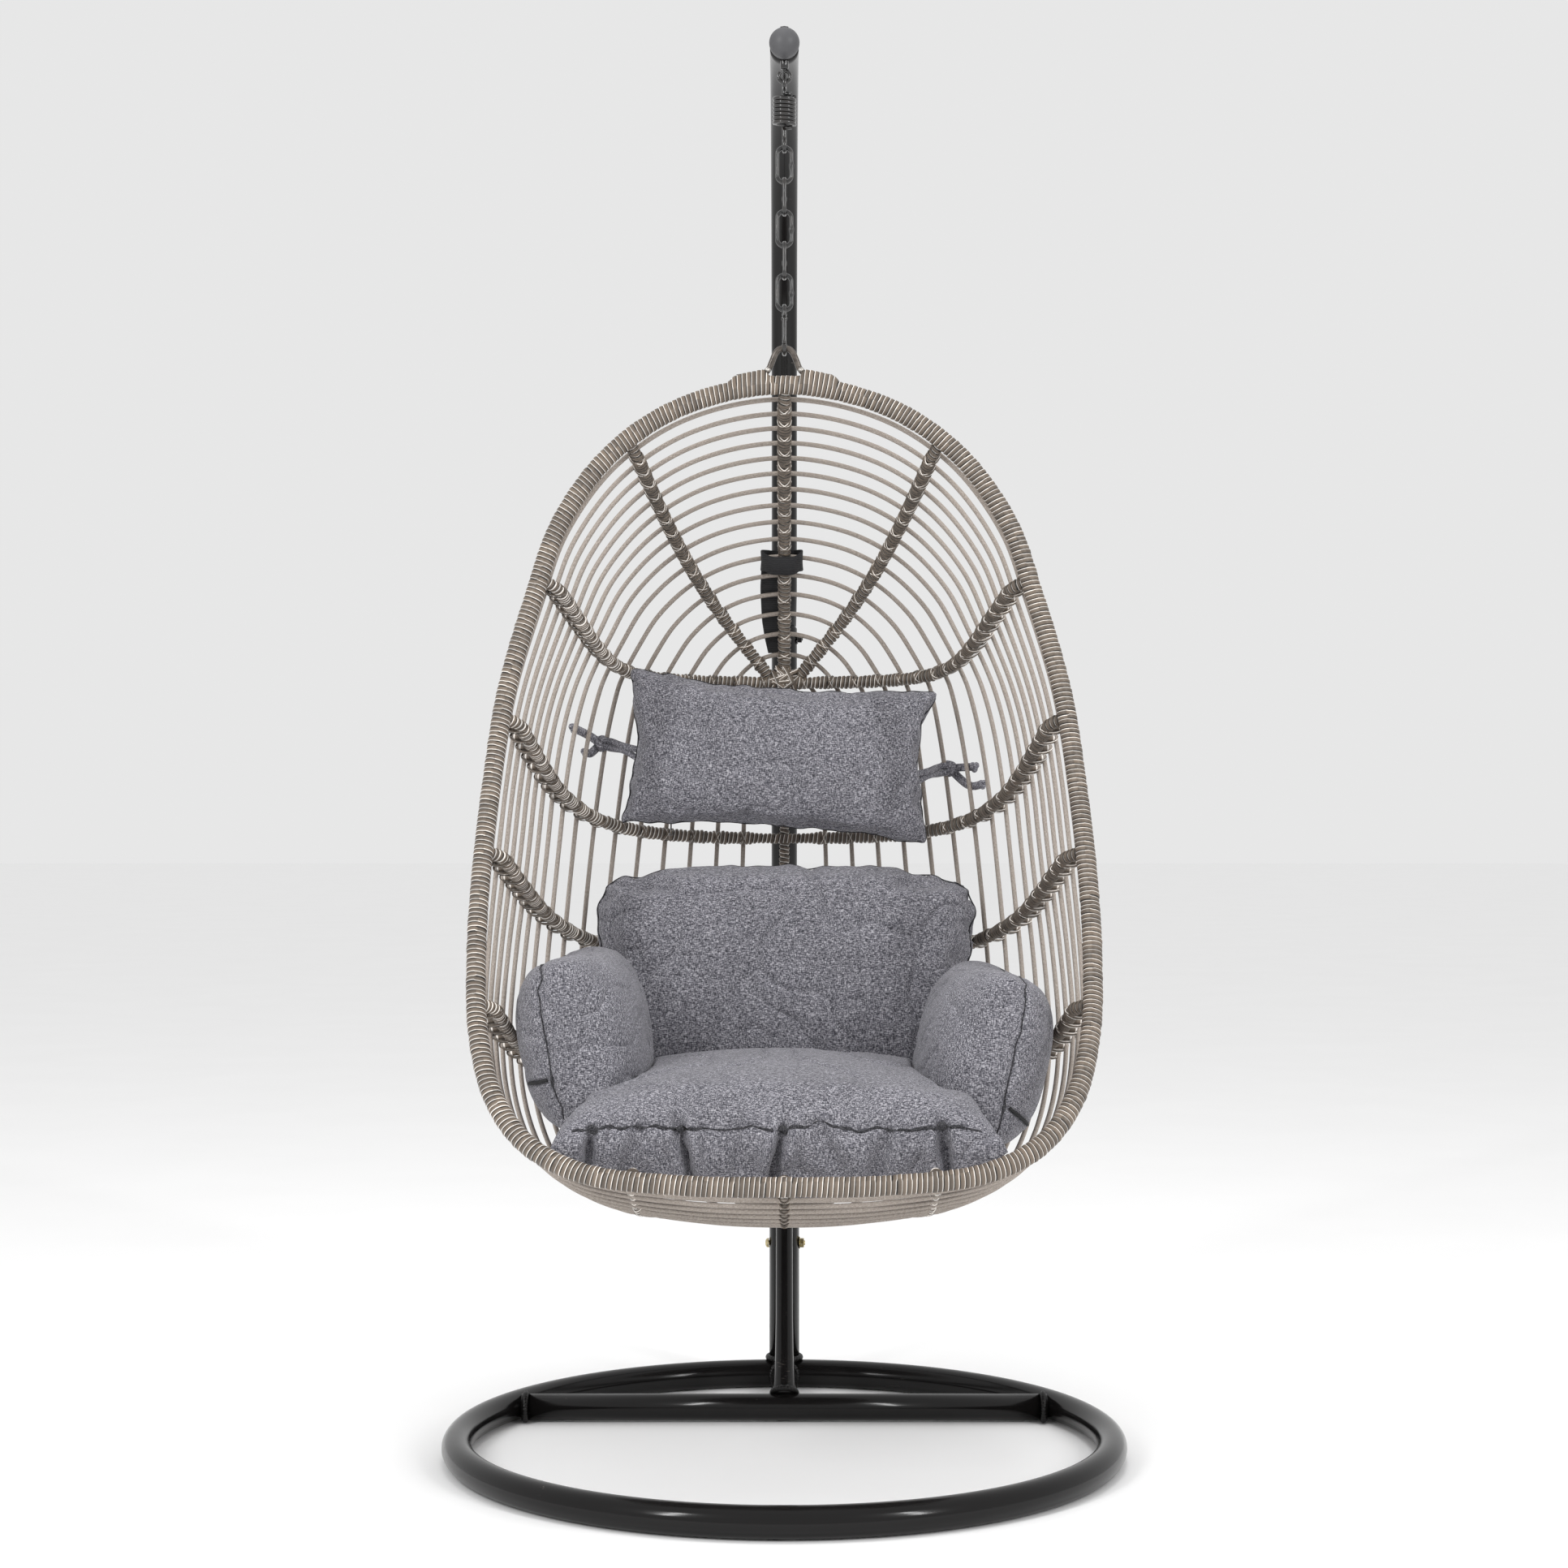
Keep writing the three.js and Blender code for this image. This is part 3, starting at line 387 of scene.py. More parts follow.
def melange_cloth(name="melange_cloth", shade=1.0):
    """Grey linen look: pale and dark threads both ways, with slubs."""
    n = Nodes(name)
    weft, warp = (
        n.ramp(n.noise(n.coords(scale=scale), 1.0, 2.0, 0.6), greys((0.40, 0), (0.60, 1)))
        for scale in ((210, 1000, 1000), (1000, 1000, 210))
    )
    speck = n.noise(n.coords(), 640, 2, 0.7)
    broad = n.noise(n.coords(), 14, 3)
    thread = n.math("ADD", n.math("MULTIPLY", weft, 0.42), n.math("MULTIPLY", warp, 0.34))
    thread = n.math("ADD", thread, n.math("MULTIPLY", speck, 0.24))
    colour = n.ramp(thread, [(place, tuple(c * shade for c in colour)) for place, colour in (
        (0.10, (0.026, 0.026, 0.032)), (0.36, (0.092, 0.091, 0.106)),
        (0.60, (0.205, 0.201, 0.227)), (0.88, (0.520, 0.510, 0.545)),
    )])
    tone = n.ramp(broad, greys((0.3, 0.92), (0.7, 1.08)))
    n.set(Base_Color=n.mix(1.0, colour, tone, "MULTIPLY"))
    n.set(Roughness=0.95, Sheen_Weight=0.12, Sheen_Roughness=0.5, Specular_IOR_Level=0.2)
    n.set(Normal=n.bump(thread, 0.35, 0.0008))
    return n.material


def webbing_cloth():
    n = Nodes("webbing_cloth")
    weave = n.add("ShaderNodeTexWave", {
        "Vector": n.coords(), "Scale": 160.0, "Distortion": 1.5,
    }, bands_direction="Z").outputs["Fac"]
    fuzz = n.noise(n.coords(), 700, 3)
    blend = n.math("MULTIPLY", weave, fuzz)
    n.set(Base_Color=n.ramp(blend, [(0.1, (0.006, 0.006, 0.007)), (0.6, (0.035, 0.035, 0.038))]))
    n.set(Roughness=0.8, Normal=n.bump(weave, 0.5, 0.0008))
    return n.material


PAINT = painted_steel()
CHAIN = chain_steel()
ZINC = zinc_plate()
DULL = dull_steel()
WELD = weld_metal()
CAP = cap_plastic()
STRAND = strand_resin()
# the ribs' strand: a darker body and a wider painted highlight
RIB_STRAND = strand_resin("rib_strand_resin", 1.0, 0.90, 0.14)
ROD = rod_resin()
CLOTH = melange_cloth()
# the welts' cloth, darkened to 0.22 of the cushion cloth: painted shade along the seams
SEAM_SHADE_CLOTH = melange_cloth("seam_shade_cloth", 0.22)
WEBBING = webbing_cloth()


def placed(piece, body, slot, *nodes):
    """Ties a finished piece to its body and hides the CAD nodes it stands for. slot is not used."""
    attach(piece, body)
    if nodes:
        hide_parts(*nodes)
    return piece


# ---------- stand ----------

# A faceted CAD tube's half width, as a share of its round radius.
TWELVE_SIDES = math.cos(math.radians(15))
FOURTEEN_SIDES = math.cos(math.pi / 14)
ARCH_START_Z = ARM_Z - ARCH_RADIUS - ARCH_RADIUS * math.sin(MAST_LEAN)
EASE = 0.0012                       # how far a tube's rim turns in at its end
WELD_LUMPS, WELD_WAVE = 34, 0.0012
NUT_CHAMFER = 0.0008


def mast_point(z):
    """A point on the mast's straight line."""
    y = ARCH_RADIUS * math.cos(MAST_LEAN) - (ARCH_START_Z - z) * math.tan(MAST_LEAN)
    return np.array([0, y + FRONT, z])


def weld_bead(centre, axis, radius, size=0.0036):
    """A lumpy closed bead round a joint, as a line and its thickness."""
    axis = np.array(axis, float) / np.linalg.norm(axis)
    seed = np.array([1.0, 0, 0]) if abs(axis[0]) < 0.8 else np.array([0, 0, 1.0])
    a = np.cross(axis, seed)
    a /= np.linalg.norm(a)
    b = np.cross(axis, a)
    angle = np.linspace(0, 2 * np.pi, WELD_LUMPS * 3 + 1)
    line = np.array(centre) + radius * (np.cos(angle)[:, None] * a + np.sin(angle)[:, None] * b)
    thick = size + WELD_WAVE * np.abs(np.sin(angle * WELD_LUMPS / 2))
    line[:, 2] = np.maximum(line[:, 2], thick + 0.0006)
    return line, thick


def stand_tube(name, line, radius, sides, *nodes):
    """One painted tube of the stand."""
    placed(tubes(name, [line], [radius], sides, False, PAINT), "stand", "frame_paint", *nodes)


def build_stand():
    t = np.linspace(0, 2 * np.pi, 145)
    around = [RING_RADIUS * np.cos(t), RING.y + RING_RADIUS * np.sin(t), np.full_like(t, RING.z)]
    ring = tubes("ring_tube", [np.stack(around, 1)], RING_TUBE, 32, True, PAINT)
    placed(ring, "stand", "frame_paint", "base_ring")

    bar_low, bar_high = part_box("crossbar")
    bar = box_centre("crossbar")
    reach = bar_high.x - 0.006
    bar_tube = (bar_high.z - bar_low.z) / 2 / TWELVE_SIDES - 0.0001
    stand_tube("crossbar_tube", [(x, bar.y, bar.z) for x in (-reach, 0, reach)], bar_tube, 28, "crossbar")
    back = RING.y + RING_RADIUS
    spine = [(0, bar.y + bar_tube * 0.7, bar.z), (0, back - RING_TUBE * 0.8, bar.z)]
    stand_tube("spine_bar", spine, bar_tube, 28, "spine_tube")

    stub_low, stub_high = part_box("mast_stub")
    stub_tube = (stub_high.x - stub_low.x) / 2 / FOURTEEN_SIDES + 0.0003
    foot, top = mast_point(0.034), mast_point(stub_high.z - 0.002)
    stand_tube("mast_socket", [foot, top - (top - foot) * 0.012, top],
               np.array([stub_tube, stub_tube, stub_tube - 0.0016]), 32, "mast_stub")
    mast_low, mast_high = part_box("mast_middle")
    mast_tube = (mast_high.x - mast_low.x) / 2 / TWELVE_SIDES + 0.0001
    middle = [mast_point(z) for z in (stub_high.z - 0.05, mast_high.z - 0.003, mast_high.z - 0.0008)]
    stand_tube("mast_tube", middle, np.array([mast_tube, mast_tube, mast_tube - EASE]), 32, "mast_middle")
    up = [mast_point(z) for z in np.linspace(mast_high.z + 0.0009, ARCH_START_Z, 4)]
    arch_z = ARM_Z - ARCH_RADIUS
    arc = [(0, FRONT + ARCH_RADIUS * math.cos(a), arch_z + ARCH_RADIUS * math.sin(a))
           for a in np.linspace(-MAST_LEAN, math.pi / 2, 60)[1:]]
    tip_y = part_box("mast_arch")[0].y
    arch = np.array([*up, *arc, (0, tip_y, ARM_Z)])
    thick = np.full(len(arch), mast_tube)
    thick[0] -= EASE
    stand_tube("mast_arm", arch, thick, 32, "mast_arch")

    brace_low, brace_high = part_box("brace")
    brace_tube = (brace_high.x - brace_low.x) / 2 + 0.0003
    low = np.array([0, bar.y + 0.004, bar.z + bar_tube - 0.003])
    high = mast_point(brace_high.z + 0.006)
    high[1] -= 0.006
    along = high - low
    share = np.array([0, 0.03, 0.08, 0.16, 0.28, 0.5, 0.92, 1.0])
    flare = np.array([0.0045, 0.0032, 0.0018, 0.0007, 0, 0, 0, 0])
    stand_tube("brace_tube", low + along * share[:, None], brace_tube + flare, 24, "brace")

    beads = []
    for side in (-1, 1):
        x = side * math.sqrt(RING_RADIUS**2 - (bar.y - RING.y) ** 2)
        inward = Vector((-x, -(bar.y - RING.y), 0)).normalized()
        spot = Vector((x, bar.y, bar.z)) + inward * (RING_TUBE * 0.55) + Vector((-side * 0.014, 0, 0))
        beads.append(weld_bead(spot, (1, 0, 0), bar_tube + 0.0005))
    beads += [
        weld_bead((0, bar.y + bar_tube, bar.z), (0, 1, 0), bar_tube - 0.001, 0.003),
        weld_bead((0, back - RING_TUBE * 1.02, bar.z), (0, 1, 0), bar_tube + 0.0004),
        weld_bead(mast_point(0.0455), (0, 0, 1), stub_tube + 0.0008, 0.0042),
        weld_bead(low + along * 0.008, along, brace_tube + 0.0048, 0.0034),
        weld_bead(low + along * 0.965, along, brace_tube + 0.001, 0.003),
    ]
    lines, thicks = zip(*beads)
    placed(tubes("stand_welds", lines, list(thicks), 10, True, PAINT), "stand", "frame_paint")

    build_bolt("stub", ZINC)
    build_bolt("mast", CHAIN)
    ball_low, ball_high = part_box("end_cap")
    r = (ball_high.x - ball_low.x) / 2 + 0.0004
    centre_y = ball_low.y + r
    steps = np.linspace(0, math.pi, 40)
    ball = np.array([(0, centre_y - r * math.cos(s), ARM_Z) for s in steps])
    radii = np.maximum(r * np.sin(steps), 0.00005)
    stop = int(np.argmax((radii < mast_tube - 0.0002) & (steps > 1.6)))     # where the ball meets the arm
    collar_y = tip_y - 0.0006
    line = np.vstack([ball[:stop], [(0, collar_y - 0.0015, ARM_Z), (0, collar_y, ARM_Z)]])
    sizes = np.concatenate([radii[:stop], [mast_tube + 0.0004, mast_tube + 0.0004]])
    placed(tubes("arm_end_ball", [line], [sizes], 40, False, CAP), "stand", "cap_plastic", "end_cap")


def hex_nut(name, centre, axis, across, thickness, material):
    """A six-sided nut with eased corners and flat faces."""
    axis = np.array(axis, float)
    line = [centre + axis * k for k in (0, NUT_CHAMFER, thickness - NUT_CHAMFER, thickness)]
    radii = np.array([across - NUT_CHAMFER, across, across, across - NUT_CHAMFER])
    nut = tubes(name, [line], [radii], 6, False, material)
    nut.data.polygons.foreach_set("use_smooth", [False] * len(nut.data.polygons))
    return nut


def build_bolt(name, material):
    """A domed bolt through one of the mast's joints, with a washer and nut at its far end."""
    low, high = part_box(f"{name}_bolt")
    nut_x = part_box(f"{name}_nut")[0].x
    head = box_centre(f"{name}_bolt")

    def along_x(*places):
        return np.array([(x, head.y, head.z) for x in places])

    dome = along_x(*(low.x + k for k in (-0.0012, -0.0008, 0.0004, 0.0022, 0.0046, 0.0047)))
    shank = along_x(low.x + 0.004, high.x - 0.001, high.x)
    washer = along_x(nut_x - 0.0002, nut_x + 0.0012)
    radii = [np.array([0.0012, 0.004, 0.0062, 0.0073, 0.0075, 0.0075]), np.array([0.0039, 0.0039, 0.0033]),
             np.array([0.0092, 0.0092])]
    piece = tubes(f"{name}_bolt_round", [dome, shank, washer], radii, 20, False, material)
    placed(piece, "stand", "zinc_plate", f"{name}_bolt")
    nut = hex_nut(f"{name}_nut_hex", along_x(nut_x + 0.0012)[0], (1, 0, 0), 0.0078, 0.0062, material)
    placed(nut, "stand", "zinc_plate", f"{name}_nut")


# ---------- chain, spring and hook ----------

WIRE = 0.003                        # radius of the hook's, the spring's and the snap hook's wire
LINK_WIRE = 0.00275
SPRING_TURNS = 7.0


def hung(points, plane="yz"):
    """Points (across, up) as a line in one of the two upright planes through the hanging axis."""
    return np.array([(a, HANG_Y, z) if plane == "xz" else (0, HANG_Y + a, z) for a, z in points])


def half_turn(radius, height, start, marks, steps):
    """Points (across, up) on half a circle round (0, height) that takes so many steps."""
    angles = [start + math.pi * k / steps for k in marks]
    return [(radius * math.cos(a), height + radius * math.sin(a)) for a in angles]


def eye_line(plane, centre_z, radius, stem_z):
    """A straight stem that runs into a round eye, not quite closed."""
    up = 1 if stem_z > centre_z else -1
    points = [(0, stem_z), (0, centre_z + up * (radius + 0.0025))]
    for i in range(1, 25):
        angle = math.radians(312) * i / 24
        points.append((radius * math.sin(angle), centre_z + up * radius * math.cos(angle)))
    return spline(hung(points, plane), per=3)


def build_arm_hook():
    low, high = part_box("hanger_hook")
    radius = (high.x - low.x) / 2 - WIRE
    centre = low.z + WIRE + radius
    top = centre + radius
    shank = hung([(0, z) for z in (top + 0.002, top + 0.004, ARM_Z - 0.019, high.z)])
    hook = tubes("arm_hook", [shank, eye_line("xz", centre, radius, top + 0.012)],
                 [np.array([0.0046, 0.0058, 0.0058, 0.0034]), WIRE], 16, False, CHAIN)
    placed(hook, "hanger", "chain_paint", "hanger_hook")
    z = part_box("hanger_nut")[0].z
    dome = hung([(0, z + k) for k in (-0.0002, 0.0002, 0.0018, 0.0030, 0.0038)])
    radii = np.array([0.0138, 0.0143, 0.0132, 0.0100, 0.0060])
    washer = tubes("arm_washer", [dome], [radii], 32, False, PAINT)
    placed(washer, "hanger", "chain_paint", "hanger_nut")
    lock = hex_nut("arm_locknut", np.array([0, HANG_Y, z + 0.0036]), (0, 0, 1), 0.0066, 0.0040, CHAIN)
    placed(lock, "hanger", "chain_paint")


def build_spring():
    low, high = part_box("spring_coil")
    coil_radius = (high.x - low.x) / 2 - WIRE
    t = np.linspace(0, 1, 260)
    angle = t * SPRING_TURNS * 2 * math.pi
    z = high.z - WIRE - t * (high.z - low.z - 2 * WIRE)
    line = np.stack([coil_radius * np.cos(angle), HANG_Y + coil_radius * np.sin(angle), z], 1)
    coil = tubes("spring_turns", [line], WIRE - 0.0001, 14, False, CHAIN)
    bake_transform(coil)
    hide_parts("spring_coil")
    for end, body, up in (("top", "spring_upper", -1), ("bottom", "spring_lower", 1)):
        node = f"spring_{end}_loop"
        lo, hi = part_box(node)
        radius = (hi.y - lo.y) / 2 - WIRE
        centre = (lo.z + WIRE + radius) if up > 0 else (hi.z - WIRE - radius)
        stem = (low.z - 0.0005) if up > 0 else (high.z + 0.0005)
        sweep_in = [(coil_radius * 0.75 * (1 - s), HANG_Y, stem - up * 0.001 * s) for s in (0, 0.5, 1)]
        loop = tubes(f"{node}_wire", [eye_line("yz", centre, radius, stem), sweep_in], WIRE, 16, False, CHAIN)
        placed(loop, body, "chain_paint", node)


def build_chain():
    for i in range(1, 6):
        lo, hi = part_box(f"chain_link_{i}")
        plane = "xz" if i % 2 else "yz"
        span = (hi.x - lo.x) if plane == "xz" else (hi.y - lo.y)
        half_w = span / 2 - LINK_WIRE
        half_h = (hi.z - lo.z) / 2 - LINK_WIRE - half_w
        mid = (lo.z + hi.z) / 2
        points = half_turn(half_w, half_h, 0, range(24), 24)
        points += [(-half_w, half_h - 2 * half_h * k / 6) for k in range(6)]
        points += half_turn(half_w, -half_h, math.pi, range(24), 24)
        points += [(half_w, -half_h + 2 * half_h * k / 12) for k in range(12)]
        line = hung([(a, mid + z) for a, z in [*points, points[0]]], plane)
        thick = np.full(len(line), LINK_WIRE + 0.0001)
        weld = len(line) - 8
        for place, swell in ((0, 0.0007), (1, 0.0008), (-1, 0.0002), (3, -0.0002)):
            thick[weld + place] += swell
        link = tubes(f"link_{i}_wire", [line], [thick], 14, True, CHAIN)
        placed(link, f"link_{i}", "chain_paint", f"chain_link_{i}")


def build_snap_hook():
    lo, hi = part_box("snap_hook_body")
    half = (hi.y - lo.y) / 2 - WIRE
    top, bottom = hi.z - WIRE - half, lo.z + WIRE + half
    gate_lo, gate_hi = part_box("snap_hook_gate")
    points = [(-half, bottom + 0.0005), *half_turn(half, bottom, math.pi, range(1, 13), 12)]
    points += [(half, (top + bottom) / 2), *half_turn(half, top, 0, range(13), 12)]
    points += [(-half, gate_hi.z + 0.0035), (-half, gate_hi.z + 0.0008)]
    line = spline(hung(points), per=4)
    thick = np.full(len(line), WIRE)
    thick[:3] = WIRE + 0.0003
    thick[-4:] = WIRE + 0.0006
    hook = tubes("snap_hook_wire", [line], [thick], 16, False, CHAIN)
    placed(hook, "snap_hook", "chain_paint", "snap_hook_body")
    y = (gate_lo.y + gate_hi.y) / 2
    bar = np.array([(0, y, z) for z in np.linspace(gate_lo.z, gate_hi.z, 9)])
    bar_thick = np.array([0.0024, 0.0027, 0.0026, 0.0025, 0.0025, 0.0025, 0.0026, 0.0028, 0.0026])
    rivet = np.array([(x, y, gate_hi.z - 0.0035) for x in (-0.0042, -0.0036, 0.0036, 0.0042)])
    rivet_thick = np.array([0.0012, 0.0022, 0.0022, 0.0012])
    gate = tubes("snap_gate_bar", [bar, rivet], [bar_thick, rivet_thick], 14, False, CHAIN)
    placed(gate, "snap_gate", "chain_paint", "snap_hook_gate")


# ---------- basket shell ----------

def rim_y(z):
    """The rim leans forward more and more towards its foot."""
    share = np.clip((RIM_OUTLINE[0][1] - z) / (RIM_OUTLINE[0][1] - RIM_OUTLINE[-1][1]), 0, 1)
    return RIM_TOP_Y - RIM_REACH * share**RIM_SWEEP


RIM_POINTS = [(x, rim_y(z), z) for x, z in RIM_OUTLINE]
RIM_POINTS += [(-x, y, z) for x, y, z in reversed(RIM_POINTS[1:-1])]
RIM_LINE = spline(RIM_POINTS, closed=True)
SPINE_LINE = spline([(0, y, z) for y, z in SPINE_OUTLINE])
LINES, STEPS = 193, 241
RIM_SEARCH = (0.1, 0.95)        # the shares of the rim between which a rib's end is looked for
RIB_JOIN = 22                   # the last step, in mm, from a rib's half to the middle plane


def shell_grid():
    """The shell's points: rows go round the rim's right half, columns from the spine to the rim."""
    grid = np.zeros((LINES, STEPS, 3))
    t = np.linspace(0, 1, 161)[:, None]
    for i, along in enumerate(np.linspace(0, 1, LINES)):
        rim = at(RIM_LINE, along / 2)[0]
        share = min(max((along - 0.36) / 0.5, 0), 1)
        share = SPINE_USED * (0.75 * share + 0.25 * share * share * (3 - 2 * share))
        start = at(SPINE_LINE, share)[0]
        tangent = at(SPINE_LINE, share + 0.002)[0] - at(SPINE_LINE, max(share - 0.002, 0))[0]
        tangent /= np.linalg.norm(tangent)
        outward = np.array([0, -tangent[2], tangent[1]])
        reach = rim - start
        depth = -reach.dot(outward)
        lateral = reach + outward * depth
        width = np.linalg.norm(lateral)
        lateral /= width
        around = np.array([rim[0], 0, rim[2] - 900])
        around /= np.linalg.norm(around)
        rise = around[2]
        flare = 0.17 + 0.41 * rise**2 if rise > 0 else 0.17 - 0.67 * abs(rise) ** 2.4
        leaving = around * flare + np.array([0, -1, 0])
        leaving /= np.linalg.norm(leaving)
        fullness = 0.86 - (0.53 * rise**4 if rise > 0 else 0.43 * rise**2)
        first = start + lateral * fullness * width
        second = rim - leaving * (0.3 * np.linalg.norm(reach) + 0.45 * abs(depth))
        line = (1 - t) ** 3 * start + 3 * (1 - t) ** 2 * t * first + 3 * (1 - t) * t * t * second + t**3 * rim
        grid[i] = at(line, np.linspace(0, 1, STEPS))
    grid[0, :, 0] = grid[-1, :, 0] = 0
    return grid


GRID = shell_grid()
NORMALS = np.cross(np.gradient(GRID, axis=0), np.gradient(GRID, axis=1))
NORMALS[:, :10] = NORMALS[:, 10:11]
NORMALS[0, :, 0] = NORMALS[-1, :, 0] = 0
NORMALS /= np.linalg.norm(NORMALS, axis=2)[:, :, None] + 1e-12


def sample(grid, along, across):
    a = np.clip(along, 0, 1) * (LINES - 1)
    w = np.clip(across, 0, 1) * (STEPS - 1)
    i, j = min(int(a), LINES - 2), min(int(w), STEPS - 2)
    u, v = a - i, w - j
    return (
        (1 - u) * (1 - v) * grid[i, j] + u * (1 - v) * grid[i + 1, j]
        + (1 - u) * v * grid[i, j + 1] + u * v * grid[i + 1, j + 1]
    )


def shell(along, across):
    return sample(GRID, along, across)


def inset_point(along, across, inset):
    """A point inside the shell, its distance from the rim counted in rod spaces, and the
    shell's own point there, which is where a rod passes."""
    spaces = (1 - across) * ROD_SPACES
    t = min(max(spaces / 0.65, 0), 1)
    normal = sample(NORMALS, along, across)
    normal /= np.linalg.norm(normal) + 1e-12
    here = shell(along, across)
    return here + normal * inset * t * t * (3 - 2 * t), spaces, here


def to_row(points):
    """Millimetres from the ring's centre to metres in the row's frame."""
    out = np.array(points, float) / 1000
    out[..., 1] += FRONT
    return out


def follow(normal, level, inset, low, high, done=None):
    """Follows where the plane normal . p = level meets the shell, from the rim inwards."""
    normal = np.array(normal, float)

    def height(p):
        return p.dot(normal) - level

    a, b = low, high
    sign = math.copysign(1, height(at(RIM_LINE, a / 2)[0]))
    for _ in range(40):
        mid = (a + b) / 2
        if math.copysign(1, height(at(RIM_LINE, mid / 2)[0])) == sign:
            a = mid
        else:
            b = mid
    along, across, heading = (a + b) / 2, 1.0, None
    out = [inset_point(along, across, inset)]
    for _ in range(900):
        here = shell(along, across)
        by_along = (shell(along + 0.002, across) - shell(along - 0.002, across)) * 250
        by_across = (here - shell(along, across - 0.004)) * 250
        ga, gw = by_along.dot(normal), by_across.dot(normal)
        travel = by_along * gw - by_across * ga
        inward = travel.dot(heading) > 0 if heading is not None else ga > 0
        scale = (1 if inward else -1) * 3.0 / np.linalg.norm(travel)
        heading = travel * (1 if inward else -1)
        along += gw * scale
        across = min(across - ga * scale, 1.0)
        for _ in range(3):
            error = height(shell(along, across))
            ea, ew = ga / by_along.dot(by_along), gw / by_across.dot(by_across)
            total = ea * ga + ew * gw
            along -= error * ea / total
            across = min(across - error * ew / total, 1.0)
        if across < 0.04 or along < 0.003 or along > 0.997:
            break
        out.append(inset_point(along, across, inset))
        if done is not None and done(shell(along, across)):
            break
    return out


def spine_inset(share, inset):
    tangent = at(SPINE_LINE, min(share + 0.004, 1))[0] - at(SPINE_LINE, max(share - 0.004, 0))[0]
    tangent /= np.linalg.norm(tangent)
    return at(SPINE_LINE, share)[0] + np.array([0, tangent[2], -tangent[1]]) * inset


def mirror(rows):
    flip = np.array([-1, 1, 1])
    return [(p * flip, spaces, q * flip) for p, spaces, q in rows]


def from_rim(normal, level, inset):
    """Half of a rib that meets the middle plane at the top of the back."""
    half = follow(normal, level, inset, *RIM_SEARCH)
    first = next(i for i in range(STEPS) if GRID[0, i].dot(np.array(normal, float)) > level)
    middle = inset_point(0, first / (STEPS - 1), inset)
    middle[0][0] = 0
    while np.linalg.norm(half[-1][0] - middle[0]) < RIB_JOIN:
        half.pop()
    return [*half, middle]


def rib_rows():
    """Each rib as rows of (point, rod spaces from the rim, shell point), by name."""
    back = SPINE_LINE[0][1]
    ribs = {}
    for index, (level, slope) in enumerate(CROSS_RIBS):
        normal, value = np.array([0, slope, 1.0]), level + slope * back
        inset = RIB_INSET + SADDLE
        if index == 0:
            half = from_rim(normal, value, inset)
        else:
            half = follow(normal, value, inset, *RIM_SEARCH)
            shares = np.linspace(0, 1, 400)
            share = shares[int(np.argmax(at(SPINE_LINE, shares) @ normal < value))]
            middle = spine_inset(share, inset)
            while np.linalg.norm(half[-1][0] - middle) < RIB_JOIN:
                half.pop()
            half.append((middle, half[-1][1] + 0.5, at(SPINE_LINE, share)[0]))
        ribs[f"cross_rib_{index + 1}"] = [*half, *reversed(mirror(half[:-1]))]
    start, slope, rise = DIAGONAL
    ribs["diagonal_rib_right"] = from_rim((-slope, rise, 1), HUB_Z - slope * start + rise * back, RIB_INSET)
    ribs["diagonal_rib_left"] = mirror(ribs["diagonal_rib_right"])
    level, slope = CROSS_RIBS[3]
    ribs["seat_rib_right"] = follow(
        (1, 0, 0), SEAT_RIB_X, RIB_INSET, 0.7, 1.0,
        lambda p: p[1] > 0 and p[2] - level - slope * (back - p[1]) > 0,
    )
    ribs["seat_rib_left"] = mirror(ribs["seat_rib_right"])
    steps = np.concatenate([np.linspace(0, 1, 9), np.linspace(1.3, 17.4, 60)])
    rows = [inset_point(0, 1 - s / ROD_SPACES, RIB_INSET) for s in steps]
    middle = np.linspace(0.01, SPINE_USED, 60)
    rows += [(spine_inset(s, RIB_INSET), 18.0, at(SPINE_LINE, s)[0]) for s in middle]
    rows += [inset_point(1, 1 - s / ROD_SPACES, RIB_INSET) for s in reversed(steps)]
    for p, _, q in rows:
        p[0] = q[0] = 0
    ribs["centre_rib"] = rows
    return ribs


# One turn of strand: where each row lies across its width, and how far it stands out, in metres.
PROFILE = [(0.0, -0.0010), (0.10, 0.0001), (0.30, 0.00035), (0.70, 0.00015), (0.92, -0.00025)]


